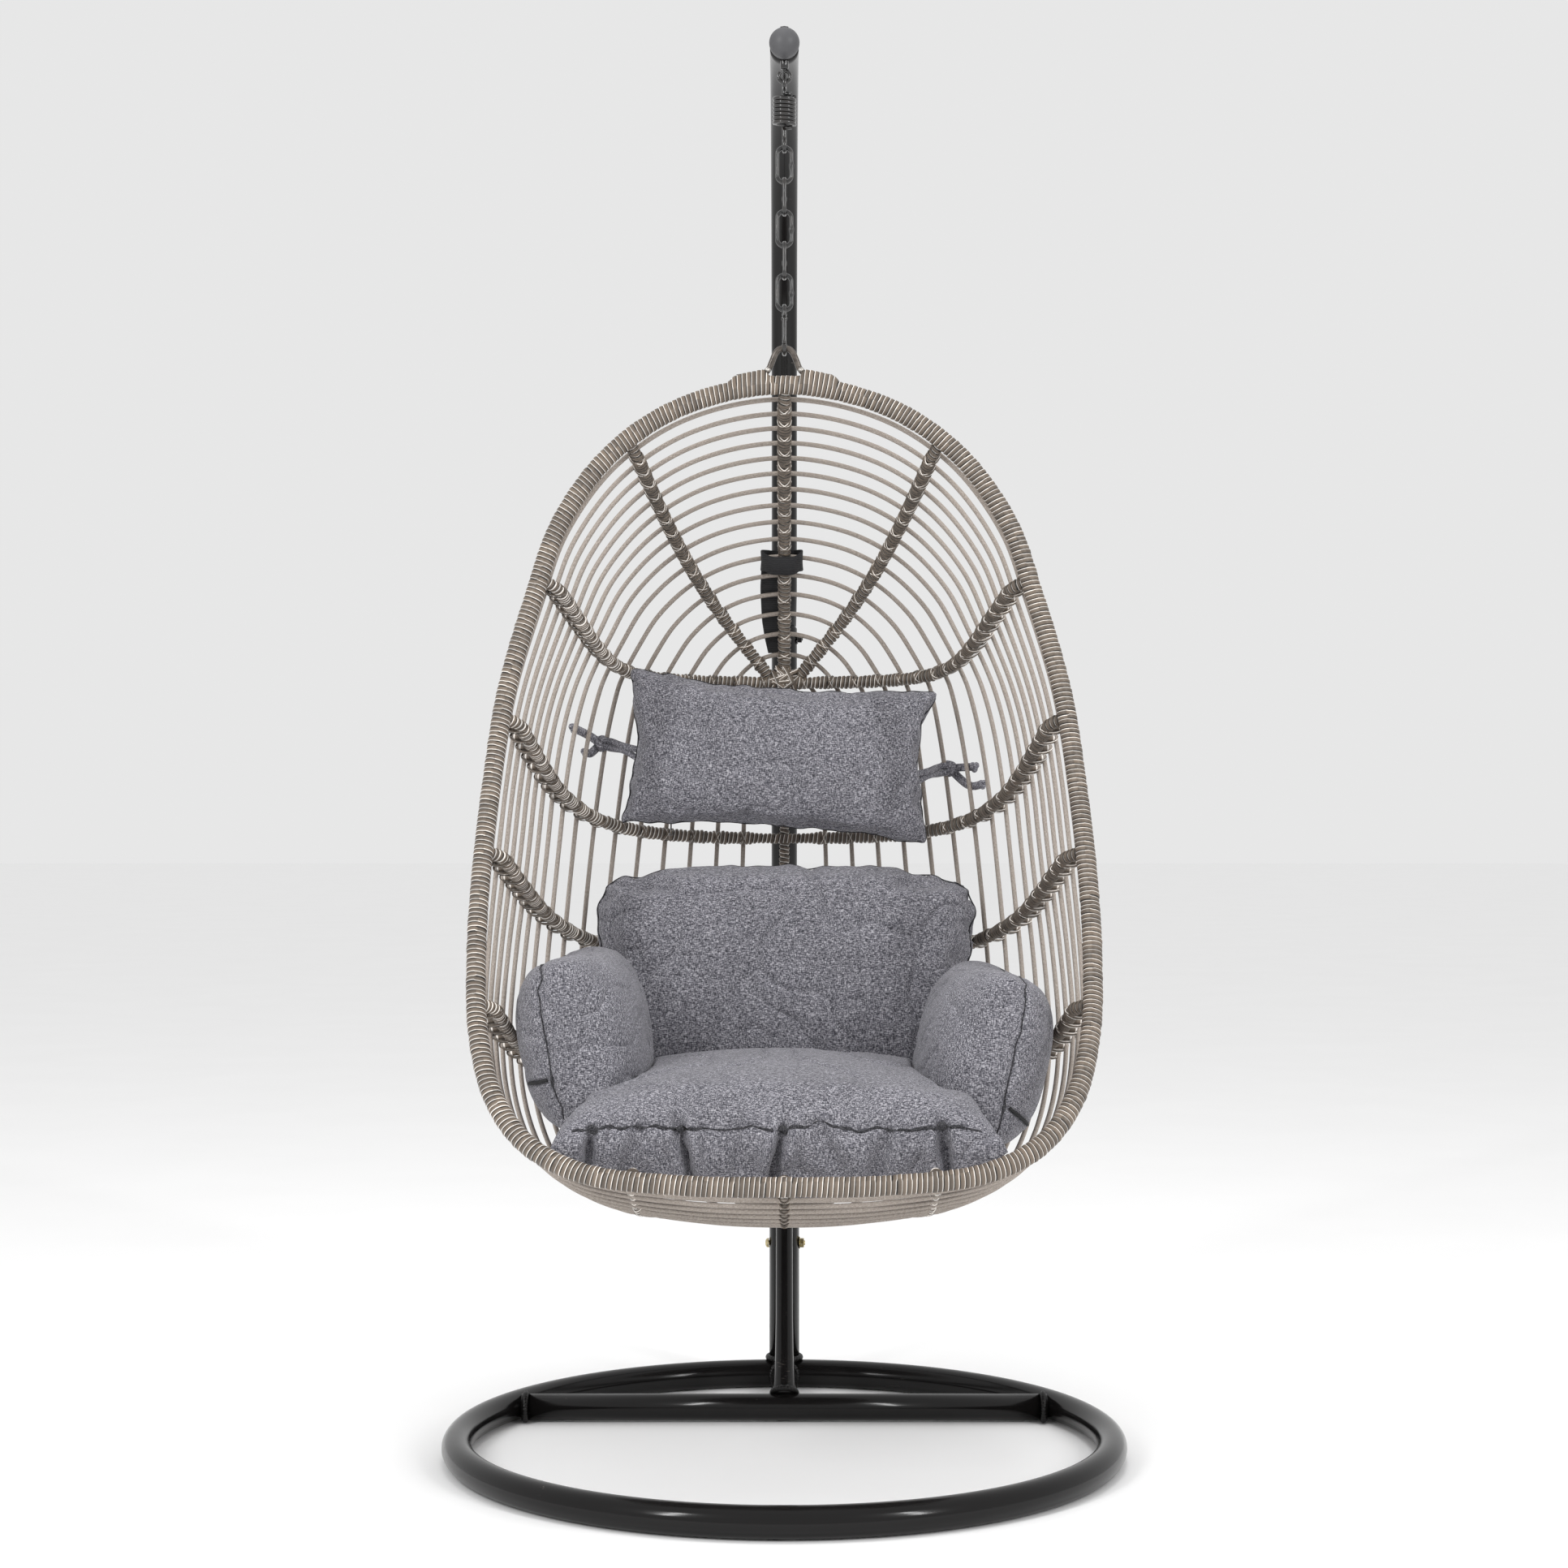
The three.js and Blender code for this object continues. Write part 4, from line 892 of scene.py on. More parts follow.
def wound(name, line, pitch, radius, sides, closed=False, lift=None, material=STRAND, depth=1.0,
          reverse=False):
    """A tube wound with flat strand. The rows run round it as a screw thread does, so that each
    strand has a crisp edge. radius is a function of the share of the length, lift of a point's
    direction from the line and of the line's point, and depth scales the strand's profile. With
    reverse, the strand's painted highlight is on its other edge."""
    run = lengths(line)
    turns = max(int(round(run[-1] / pitch)), 2)
    per = len(PROFILE)
    _, side, up = frames(line, closed)
    rows = turns * per if closed else (turns + 1) * per + 1
    jitter = np.array([RNG.gauss(0, 0.00022) for _ in range(turns + 3)])
    slip = np.array([RNG.gauss(0, 0.045) for _ in range(turns + 3)])
    verts = np.zeros((rows, sides, 3))
    counted = np.zeros(rows)
    for i in range(rows):
        turn, k = divmod(i, per)
        part, bump = PROFILE[k]
        counted[i] = turn + part
        angle = 2 * math.pi * np.arange(sides) / sides
        place = turn + part + (slip[turn] if k else 0) - np.arange(sides) / sides
        share = (place % turns) / turns if closed else np.clip(place / turns, 0, 1)
        s = share * run[-1]
        centre = np.stack([np.interp(s, run, line[:, c]) for c in range(3)], 1)
        a = np.stack([np.interp(s, run, side[:, c]) for c in range(3)], 1)
        b = np.stack([np.interp(s, run, up[:, c]) for c in range(3)], 1)
        direction = np.cos(angle)[:, None] * a + np.sin(angle)[:, None] * b
        r = radius(share) + bump * depth + jitter[turn % (turns + 1)]
        verts[i] = centre + direction * np.reshape(r, (-1, 1))
        if lift is not None:
            verts[i] += lift(direction, centre)
    faces, uvs = [], []
    last = rows if closed else rows - 1
    for i in range(last):
        n = (i + 1) % rows
        step = (1.0 if (i + 1) % per == 0 else PROFILE[(i + 1) % per][0]) - PROFILE[i % per][0]
        u0 = counted[i] + 1e-4
        u1 = u0 + step - 2e-4
        # reverse puts the painted highlight on the strand's other edge
        if reverse:
            u0, u1 = -u0, -u1
        for j in range(sides):
            k = j + 1
            if k < sides:
                p, q = i * sides + k, n * sides + k
            elif closed:
                p, q = (i - per) % rows * sides, (n - per) % rows * sides
            else:
                p, q = max(i - per, 0) * sides, max(n - per, 0) * sides
            quad = tuple(dict.fromkeys((i * sides + j, p, q, n * sides + j)))
            if len(quad) < 3:
                continue
            faces.append(quad)
            corner = [(u0, j / sides), (u0, k / sides), (u1, k / sides), (u1, j / sides)]
            uvs += corner[:len(quad)]
    piece = mesh_piece(name, verts.reshape(-1, 3), faces, uvs, True, material)
    if not closed:
        bm = bmesh.new()
        bm.from_mesh(piece.data)
        bmesh.ops.remove_doubles(bm, verts=bm.verts, dist=1e-6)
        bmesh.ops.holes_fill(bm, edges=[e for e in bm.edges if e.is_boundary], sides=0)
        bm.to_mesh(piece.data)
        bm.free()
    return piece


RIB_PITCH, RIM_PITCH, RIM_TUBE = 0.0064, 0.0066, 0.0129
ROD_TUBE = 0.0034


def bead_radius(spaces):
    """A rib's radius: it swells like stacked cups between one rod and the next."""
    part = spaces % 1.0
    bead = np.clip(part / 0.14, 0, 1) * (1 - 0.85 * np.clip(part - 0.14, 0, 1))
    inside = np.clip((spaces - 0.5) / 0.3, 0, 1) * np.clip((17.6 - spaces) / 0.4, 0, 1)
    at_rim = np.exp(-((spaces / 0.45) ** 2))
    return 0.0070 + 0.0027 * bead * inside + 0.0026 * at_rim


def softened(line, reach=3):
    """A running mean along a line, its ends kept."""
    size = 2 * reach + 1
    wide = np.vstack([np.repeat(line[:1], reach, 0), line, np.repeat(line[-1:], reach, 0)])
    out = np.stack([np.convolve(wide[:, c], np.ones(size) / size, "valid") for c in range(3)], 1)
    out[0], out[-1] = line[0], line[-1]
    return out


def build_ribs():
    """The ribs' windings. Returns each rib's line, its rod spaces, and the shell's line by it."""
    lines = {}
    for name, members in rib_rows().items():
        line = to_row([p for p, _, _ in members])
        skin = to_row([q for _, _, q in members])
        spaces = np.array([s for _, s, _ in members])
        run = lengths(line) / lengths(line)[-1]
        even = np.linspace(0, 1, max(int(lengths(line)[-1] / 0.004), 40))
        smooth = softened(at(line, even))
        skin = np.stack([np.interp(even, run, skin[:, c]) for c in range(3)], 1)
        # the ribs' painted highlights lie on the strand's other edge
        piece = wound(f"{name}_wrap", smooth, RIB_PITCH, lambda s: bead_radius(np.interp(s, run, spaces)), 16,
                      material=RIB_STRAND, depth=2.6, reverse=True)
        placed(piece, "basket", "resin_wrap", name)
        lines[name] = (smooth, np.interp(even, run, spaces), skin)
    return lines


def build_rim():
    line = to_row(RIM_LINE)
    even = at(line, np.linspace(0, 1, 900))
    even[-1] = even[0]

    def lift(direction, centre):
        """The hanging loop's two ends lie on the rim's top, under the winding."""
        off = np.abs(centre[:, 0])
        shoulder = 1 / (1 + np.exp((off - 0.071) / 0.0022))
        throat = 1 / (1 + np.exp((0.0235 - off) / 0.0016))
        upper = np.clip(direction[:, 2] + 0.15, 0, 1) ** 1.1
        out = np.zeros_like(centre)
        out[:, 2] = (0.0078 + 0.003 * np.clip((0.06 - off) / 0.04, 0, 1)) * shoulder * throat * upper
        out[:, 2] *= centre[:, 2] > 1.40
        return out

    rim = wound("rim_wrap", even, RIM_PITCH, lambda s: np.full(np.shape(s), RIM_TUBE), 22, True, lift)
    placed(rim, "basket", "resin_wrap", "rim")


def build_rods():
    for number in range(1, ROD_COUNT + 1):
        across = 1 - number / ROD_SPACES
        right = [shell(a, across) for a in np.linspace(0, 1, 161)]
        right[0][0] = right[-1][0] = 0
        left = [np.array([-p[0], p[1], p[2]]) for p in reversed(right[1:-1])]
        line = to_row([*right, *left, right[0]])
        count = max(int(lengths(line)[-1] / 0.009), 90)
        even = at(line, np.linspace(0, 1, count))
        even[-1] = even[0]
        wobble = np.array([math.sin(k * 0.37 + number) * 0.00008 for k in range(count)])
        rod = tubes(f"rod_{number:02d}_round", [even], [ROD_TUBE + wobble], 10, True, ROD)
        placed(rod, "basket", "resin_rod", f"rod_{number:02d}")


def build_loop():
    lo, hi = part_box("hanging_loop")
    top, y = hi.z - 0.0045, (lo.y + hi.y) / 2
    right = [(0.0080, 0.0022), (0.0130, 0.0085), (0.0172, 0.0185), (0.0215, 0.0285), (0.0285, 0.0350),
             (0.044, 0.0372), (0.066, 0.0405)]
    points = [(-x, y, top - drop) for x, drop in reversed(right)] + [(0, y, top)]
    points += [(x, y, top - drop) for x, drop in right]
    loop = tubes("hanging_loop_wire", [spline(points, per=8)], 0.0043, 16, False, DULL)
    placed(loop, "basket", "bare_steel", "hanging_loop")
    spots = []
    for side in (-1, 1):
        foot = np.array([side * 0.0232, y - 0.003, top - 0.0300])
        spots.append([foot + np.array([0, 0, k]) for k in (-0.0035, -0.002, 0.0, 0.002, 0.0035)])
    dab = tubes("loop_welds", spots, np.array([0.001, 0.0038, 0.0046, 0.0036, 0.001]), 12, False, WELD)
    placed(dab, "basket", "bare_steel")


# ---------- bindings ----------

def ribbon_ring(centre, axis_a, axis_b, a, b, width, thick, count=26):
    """A flat strand lying round an ellipse, as tube rows with an oblong section."""
    angle = np.linspace(0, 2 * np.pi, count + 1)[:-1]
    normal = np.cross(axis_a, axis_b)
    verts, faces, uvs = [], [], []
    for t in angle:
        radial = a * math.cos(t) * axis_a + b * math.sin(t) * axis_b
        out = radial / np.linalg.norm(radial)
        base = centre + radial
        for across, up in ((-0.5, 0), (-0.36, 1), (0.36, 1), (0.5, 0)):
            verts.append(base + normal * width * across + out * thick * up)
    for i in range(count):
        n = (i + 1) % count
        start, end = i / count, (i + 1) / count
        for j, (a, b) in enumerate(((0.04, 0.2), (0.2, 0.8), (0.8, 0.96), (0.96, 0.04))):
            k = (j + 1) % 4
            faces.append((i * 4 + j, n * 4 + j, n * 4 + k, i * 4 + k))
            uvs += [(a, start), (a, end), (b, end), (b, start)]
    return verts, faces, uvs


def join_parts(name, parts, material):
    verts, faces, uvs, base = [], [], [], 0
    for number, (v, f, u) in enumerate(parts):
        verts += list(v)
        faces += [tuple(base + k for k in face) for face in f]
        uvs += [(a + number, b) for a, b in u]
        base += len(v)
    return mesh_piece(name, verts, faces, uvs, True, material)


BOUND_RIB = 0.0090              # a rib's radius under its bindings


def build_bindings(lines):
    """Two slanting strands and a neck between rib and rod at each of their crossings, and the
    knot at the hub."""
    parts = []
    for line, spaces, skin in lines.values():
        tangent, _, _ = frames(line)
        for i in range(1, len(line)):
            low, high = sorted((spaces[i - 1], spaces[i]))
            whole = math.ceil(low)
            if not (low < whole <= high and 1 <= whole <= ROD_COUNT):
                continue
            out = skin[i] - line[i]
            gap = np.linalg.norm(out)
            out /= gap
            t = tangent[i] - out * tangent[i].dot(out)
            t /= np.linalg.norm(t)
            side = np.cross(out, t)
            centre = line[i] + out * (gap + ROD_TUBE - BOUND_RIB) / 2
            deep = (gap + ROD_TUBE + BOUND_RIB) / 2 + 0.0004
            for slant in (RNG.uniform(0.30, 0.5), -RNG.uniform(0.30, 0.5)):
                a = side * math.cos(slant) + t * math.sin(slant)
                parts.append(ribbon_ring(centre, a, out, 0.0088 / math.cos(slant), deep, 0.0042, 0.0010, 20))
            neck = line[i] + out * (gap - ROD_TUBE + BOUND_RIB * 0.8) / 2
            height = gap - ROD_TUBE - BOUND_RIB * 0.8 + 0.004
            parts.append(ribbon_ring(neck, side, t, 0.0046, 0.0050, height, 0.0010, 12))
    placed(join_parts("crossing_bindings", parts, RIB_STRAND), "basket", "resin_wrap")

    line = lines["cross_rib_1"][0]
    hub = line[len(line) // 2] + np.array([0, 0.002, 0.002])
    knot = []
    for i in range(18):
        turn = math.pi * (i / 18) + RNG.uniform(-0.12, 0.12)
        a = np.array([math.cos(turn), RNG.uniform(-0.15, 0.15), math.sin(turn)])
        a /= np.linalg.norm(a)
        b = np.cross(a, np.array([-math.sin(turn), RNG.uniform(-0.2, 0.2), math.cos(turn)]))
        b /= np.linalg.norm(b)
        shift = np.array([-math.sin(turn), 0, math.cos(turn)]) * RNG.uniform(-0.009, 0.009)
        size = RNG.uniform(0.019, 0.025)
        knot.append(ribbon_ring(hub + shift, a, b, size, RNG.uniform(0.0135, 0.0155), 0.0056, 0.0011))
    placed(join_parts("hub_knot", knot, RIB_STRAND), "basket", "resin_wrap")


# ---------- cushions ----------

def coordinates(piece):
    co = np.zeros(len(piece.data.vertices) * 3)
    piece.data.vertices.foreach_get("co", co)
    return co.reshape(-1, 3)


def normals_of(piece):
    return np.array([v.normal for v in piece.data.vertices])


def move_to(piece, co):
    piece.data.vertices.foreach_set("co", co.ravel())
    piece.data.update()


def finder_of(points):
    finder = KDTree(len(points))
    for i, p in enumerate(points):
        finder.insert(p, i)
    finder.balance()
    return finder


def apply(piece, kind, **settings):
    modifier = piece.modifiers.new(kind.title(), kind)
    for key, value in settings.items():
        setattr(modifier, key, value)
    bpy.context.view_layer.objects.active = piece
    bpy.ops.object.modifier_apply(modifier=modifier.name)


def shaped(name, form, centre, tilt):
    """A closed cover of two faces: form(u, v, side) gives the point for u, v in -1..1, side +-1."""
    nu, nv = 90, 60
    verts, faces, index = [], [], {}
    for side in (1, -1):
        for i in range(nu + 1):
            for j in range(nv + 1):
                if side < 0 and (i in (0, nu) or j in (0, nv)):
                    index[side, i, j] = index[1, i, j]
                    continue
                index[side, i, j] = len(verts)
                verts.append(form(-1 + 2 * i / nu, -1 + 2 * j / nv, side))
        for i in range(nu):
            for j in range(nv):
                quad = [index[side, i + a, j + b] for a, b in ((0, 0), (1, 0), (1, 1), (0, 1))]
                faces.append(tuple(quad if side > 0 else reversed(quad)))
    piece = mesh_piece(name, verts, faces, None, True, CLOTH)
    turn = Euler([math.radians(a) for a in tilt]).to_matrix().to_4x4()
    piece.data.transform(Matrix.Translation(Vector(centre)) @ turn)
    bm = bmesh.new()
    bm.from_mesh(piece.data)
    bmesh.ops.recalc_face_normals(bm, faces=bm.faces)
    bm.to_mesh(piece.data)
    bm.free()
    return piece


PRESSURE, SLACK, CLOTH_FRAMES = 4.0, 0.05, 20


def plump(piece, cap, voxel):
    """Fills a cover with air for a moment, so that it takes crowns and wrinkles. No point moves
    further than cap."""
    apply(piece, "REMESH", mode="VOXEL", voxel_size=voxel)
    start = coordinates(piece)
    cloth = piece.modifiers.new("Cloth", "CLOTH")
    settings = cloth.settings
    settings.quality = 4
    settings.mass = 0.25
    settings.tension_stiffness = settings.compression_stiffness = 14
    settings.shear_stiffness = 4
    settings.bending_stiffness = 0.25
    settings.use_pressure = True
    settings.uniform_pressure_force = PRESSURE
    settings.shrink_min = -SLACK
    settings.effector_weights.gravity = 0
    cloth.collision_settings.use_collision = False
    cloth.point_cache.frame_start = 1
    cloth.point_cache.frame_end = CLOTH_FRAMES
    for step in range(1, CLOTH_FRAMES + 1):
        bpy.context.scene.frame_set(step)
    moved = coordinates(piece.evaluated_get(bpy.context.evaluated_depsgraph_get()))
    piece.modifiers.remove(cloth)
    bpy.context.scene.frame_set(1)
    shift = moved - start
    size = np.linalg.norm(shift, axis=1)[:, None] + 1e-9
    move_to(piece, start + shift * np.minimum(1, cap / size))
    apply(piece, "SUBSURF", levels=1)


def basket_inside():
    """The rods' surface as a mesh to test against, its normals into the basket."""
    verts, faces = [], []
    rows, columns = GRID[::3], slice(None, None, 4)
    for flip in (1, -1):
        base = len(verts)
        part = to_row(rows[:, columns] * np.array([flip, 1, 1]))
        n, m = part.shape[:2]
        verts += [tuple(p) for p in part.reshape(-1, 3)]
        for i in range(n - 1):
            for j in range(m - 1):
                quad = [base + a * m + b for a, b in ((i, j), (i + 1, j), (i + 1, j + 1), (i, j + 1))]
                faces.append(quad if flip > 0 else quad[::-1])
    return BVHTree.FromPolygons(verts, faces)


def tree_of(piece):
    return BVHTree.FromPolygons(
        [tuple(c) for c in coordinates(piece)], [tuple(f.vertices) for f in piece.data.polygons]
    )


def blended(piece, amount):
    """Spreads an amount held by each vertex to the ones beside it, so that it ends softly."""
    ends = np.array([tuple(e.vertices) for e in piece.data.edges])
    count = np.bincount(ends.ravel(), minlength=len(amount))
    for _ in range(6):
        total = np.bincount(ends[:, 0], amount[ends[:, 1]], len(amount))
        total += np.bincount(ends[:, 1], amount[ends[:, 0]], len(amount))
        amount = np.maximum(amount, total / np.maximum(count, 1) * 0.92)
    return amount


ROD_ROOM, RIB_ROOM = 0.0052, 0.0115      # how far a cover stays from the rods' shell and a rib's line


def keep_clear(piece, neighbours, skin, ribs):
    """Presses a cushion's cover in, where it is inside its neighbours, the rods or the ribs."""
    co = coordinates(piece)
    inward = -normals_of(piece)
    press = np.zeros(len(co))
    for tree in (tree_of(o) for o in neighbours):
        for i, point in enumerate(co):
            _, normal, _, away = tree.ray_cast(Vector(point), Vector(inward[i]), 0.05)
            if normal is not None and normal.dot(Vector(inward[i])) > 0:
                press[i] = max(press[i], away + 0.0008)
    co += inward * blended(piece, press)[:, None]
    for i, point in enumerate(co):
        p = Vector(point)
        for _ in range(2):
            spot, _, away = ribs.find(p)
            if away < RIB_ROOM:
                p = spot + (p - spot).normalized() * RIB_ROOM
            spot, normal, _, _ = skin.find_nearest(p)
            off = p - spot
            depth = off.dot(normal)
            if depth < ROD_ROOM and (off.length < ROD_ROOM * 1.5 or abs(depth) > 0.6 * off.length):
                p = p + normal * (ROD_ROOM - depth)
        co[i] = p
    move_to(piece, co)


def creases(piece, amount, size, seed, stretch=(1, 1, 1)):
    """Soft folds pressed into a cover, where its cloth has gone slack."""
    normals = normals_of(piece)
    co = coordinates(piece)
    offset = Vector((seed * 3.1, seed * 1.7, -seed * 2.3))
    depth = np.zeros(len(co))
    for i, point in enumerate(co):
        p = Vector((point[k] / size * stretch[k] for k in range(3))) + offset
        warp = noise.noise_vector(p * 0.6) * 0.8
        ridge = 1 - abs(noise.noise(p + warp)) * 2.2
        depth[i] = max(ridge, 0) ** 5 - 0.25 * noise.noise(p * 0.5)
    move_to(piece, co - normals * (depth * amount)[:, None])


def sewn(piece, lines, valley, pucker, pitch, reach, welt=0.0011):
    """Sinks a seam along each line, gathers the cloth beside it, and lays its welt in it, in darker cloth
    that paints the seam's shade.
    """
    tree = tree_of(piece)
    snapped = []
    for line, closed in lines:
        dense = spline(line, closed, 12)
        dense = at(dense, np.linspace(0, 1, max(int(lengths(dense)[-1] / 0.004), 8)))
        snapped.append((np.array([tree.find_nearest(Vector(p))[0] for p in dense]), closed))
    every = np.vstack([line for line, _ in snapped])
    along = np.concatenate([lengths(line) for line, _ in snapped])
    finder = finder_of(every)
    co = coordinates(piece)
    normals = normals_of(piece)
    shift = np.zeros(len(co))
    for i, point in enumerate(co):
        _, index, away = finder.find(point)
        if away > reach * 3.5:
            continue
        wave = 2.2 * noise.noise(Vector((along[index] / pitch * 1.3, pitch * 400, away * 12)))
        shift[i] = wave * pucker * math.exp(-away / reach) - valley * math.exp(-((away / 0.0055) ** 2))
    move_to(piece, co + normals * shift[:, None])
    tree = tree_of(piece)
    welts = []
    for line, closed in snapped:
        found = [tree.find_nearest(Vector(p)) for p in line]
        raised = softened(np.array([tuple(spot + normal * 0.0005) for spot, normal, _, _ in found]), 1)
        if closed:
            raised[-1] = raised[0]
        # the welt is the real seam cord; its dark cloth is painted shade in the seam
        welts.append(tubes("welt", [raised], welt, 6, closed, SEAM_SHADE_CLOTH))
    join_all(piece, welts)


def join_all(piece, extras):
    """Joins small pieces to one, its own name and first material kept."""
    for item in bpy.context.selected_objects:
        item.select_set(False)
    for item in [*extras, piece]:
        item.select_set(True)
    bpy.context.view_layer.objects.active = piece
    bpy.ops.object.join()


def edge_line(form):
    """The points round a cover's edge, in its own axes."""
    steps = np.linspace(-1, 1, 14)
    path = [(u, -1) for u in steps] + [(1, v) for v in steps[1:]]
    path += [(u, 1) for u in steps[::-1][1:]] + [(-1, v) for v in steps[::-1][1:-1]]
    return [form(u, v, 1) for u, v in path]


def turned(points, centre, tilt):
    turn = np.array(Euler([math.radians(a) for a in tilt]).to_matrix())
    return np.array(points) @ turn.T + np.array(centre)


def head_form(u, v, side):
    """A pillow with soft corners and edges that pull in a little between them."""
    x = 0.226 * u * (1 - 0.035 * (1 - v * v)) * (1 - 0.02 * abs(u * v) ** 8)
    z = 0.120 * v * (1 - (0.10 if v > 0 else 0.05) * (1 - u * u)) * (1 - 0.03 * abs(u * v) ** 8)
    full = ((1 - abs(u) ** 2.6) * (1 - abs(v) ** 2.4)) ** 0.44
    return (x, -side * 0.044 * full, z)


def back_form(u, v, side):
    """A wide pad bent round the sitter, with rounded top corners."""
    corner = abs(u) ** 5 * abs(v) ** 5
    x = 0.290 * u * (1 - 0.04 * (1 - v * v)) * (1 - 0.07 * corner) * (1 - 0.20 * max(-v, 0) ** 1.5)
    z = 0.186 * v * (1 - 0.02 * (1 - u * u)) * (1 - (0.26 if v > 0 else 0.05) * abs(u) ** 3.6)
    full = ((1 - abs(u) ** 2.6) * (1 - abs(v) ** 2.6)) ** 0.42
    return (x, -side * 0.060 * full - 0.34 * x * x, z)


def seat_form(u, v, side):
    """A deep pad: v runs from the front, which is a full face, to the back."""
    front = max(-v, 0)
    x = 0.290 * u * (1 - 0.045 * (1 - v * v)) * (1 - 0.10 * max(v, 0) ** 2)
    y = 0.243 * v * (1 - 0.05 * (1 - u * u) * front)
    across, along = 1 - abs(u) ** 4, 1 - abs(v) ** (7 if v < 0 else 3)
    full = (across * along) ** 0.36
    crown = 0.022 * (1 - abs(u) ** 1.7) * (1 - 0.8 * (v - 0.1) ** 2) - 0.010 * u * u if side > 0 else 0
    return (x, y, side * 0.056 * full + crown + 0.006 * u * u)


def bolster_form(half):
    def form(u, v, side):
        full = ((1 - abs(u) ** 2.8) * (1 - abs(v) ** 2.8)) ** 0.40
        y = half[1] * u * (1 - 0.05 * (1 - v * v))
        z = half[2] * v * (1 - 0.05 * (1 - u * u)) * (1 - 0.07 * abs(u) ** 5)
        return (side * half[0] * full * (1 - 0.10 * u), y, z)
    return form


def built_cushion(name, node, form, tilt, cap, spots, skin, ribs, beside=(), voxel=0.0065):
    """A cover made from its form, filled, creased and pressed clear of what is beside it."""
    centre = np.array(box_centre(node))
    piece = shaped(name, form, centre, tilt)
    plump(piece, cap, voxel)
    creases(piece, *spots)
    keep_clear(piece, beside, skin, ribs)
    return piece, centre


BOLSTER_HALF = (0.080, 0.172, 0.116)
SEAT_TILT, BACK_TILT, HEAD_TILT = (1, 0, 0), (-8, 0, 0), (-3, 4, 0)       # degrees
# Each bolster: its side, name and tilt in degrees, how far its seam is off its middle, and its
# zip's start height, fall and reach across.
BOLSTERS = (
    (1, "right", (0, 12, 4), 0.030, -0.052, -0.030, 0.058),
    (-1, "left", (0, -10, -4), -0.046, -0.040, -0.002, 0.042),
)


def build_cushions(lines):
    """The five cushions. Returns the head pillow and its centre."""
    skin = basket_inside()
    ribs = finder_of(np.vstack([line for line, _, _ in lines.values()]))
    pads = [
        built_cushion(f"arm_pad_{name}", f"arm_bolster_{name}", bolster_form(BOLSTER_HALF), tilt, 0.012,
                      (0.0032, 0.075, side + 3), skin, ribs)
        for side, name, tilt, *_ in BOLSTERS
    ]
    bolsters = [pad for pad, _ in pads]
    seat, seat_at = built_cushion("seat_pad", "seat_cushion", seat_form, SEAT_TILT, 0.020,
                                  (0.0045, 0.11, 7, (1.6, 0.7, 0.7)), skin, ribs, bolsters)
    back, back_at = built_cushion("back_pad", "back_cushion", back_form, BACK_TILT, 0.016,
                                  (0.0040, 0.095, 4), skin, ribs, [*bolsters, seat])
    head, head_at = built_cushion("head_pillow", "head_cushion", head_form, HEAD_TILT, 0.009,
                                  (0.0030, 0.070, 11), skin, ribs, [back], 0.005)

    for (pad, centre), (side, _, tilt, off, start, fall, reach) in zip(pads, BOLSTERS):
        seam = [(off * 0.8, y, 0.13) for y in (0.11, 0.02, -0.08, -0.15)]
        seam += [(off, -0.20, z) for z in (0.095, 0.06, 0.0, -0.06, -0.10)]
        sewn(pad, [(turned(seam, centre, tilt), False)], 0.0022, 0.0012, 0.034, 0.014, 0.0010)
        slit = [(off + side * reach * t, -0.19 + 0.05 * t, start + fall * t) for t in (0.04, 0.35, 0.7, 1)]
        zipped(pad, turned(slit, centre, tilt))
    sewn(head, [(turned(edge_line(head_form), head_at, HEAD_TILT), True)], 0.0010, 0.0018, 0.026, 0.014)
    sewn(back, [(turned(edge_line(back_form), back_at, BACK_TILT), True)], 0.0014, 0.0034, 0.040, 0.022)
    front = [(x, -0.26 + 0.10 * x * x, 0.030 + 0.10 * x * x) for x in np.linspace(-0.262, 0.262, 13)]
    sewn(seat, [(turned(front, seat_at, SEAT_TILT), False)], 0.0032, 0.0030, 0.060, 0.024)
    folded(seat, seat_at)
    keep_clear(seat, bolsters, skin, ribs)
    for piece, node in zip((*bolsters, seat, back, head), ("arm_bolster_right", "arm_bolster_left",
                                                           "seat_cushion", "back_cushion", "head_cushion")):
        placed(piece, "basket", "cushion_cloth", node)
    return head, head_at


# Each fold in the front of the seat pad: its x, lean, depth and half width.
FOLDS = (
    (-0.240, 0.10, 0.018, 0.007), (-0.122, -0.22, 0.019, 0.0055), (0.002, 0.20, 0.021, 0.0055),
    (0.062, -0.5, 0.008, 0.010), (0.212, -0.12, 0.018, 0.007), (-0.185, 0.3, 0.009, 0.010),
    (0.135, 0.35, 0.008, 0.008),
)


def folded(seat, centre):
    """The deep upright folds in the front of the seat pad."""
    co = coordinates(seat)
    normals = normals_of(seat)
    local = co - centre
    face = np.clip((-local[:, 1] - 0.17) / 0.05, 0, 1)
    depth = np.zeros(len(co))
    for x, lean, deep, wide in FOLDS:
        off = local[:, 0] - x - lean * local[:, 2]
        beside = np.exp(-(((np.abs(off) - 2.6 * wide) / (1.6 * wide)) ** 2))
        depth += deep * np.exp(-((off / wide) ** 2)) - 0.45 * deep * beside
    low = np.clip((0.046 - local[:, 2]) / 0.050, 0, 1)
    move_to(seat, co - normals * (depth * face * low)[:, None])


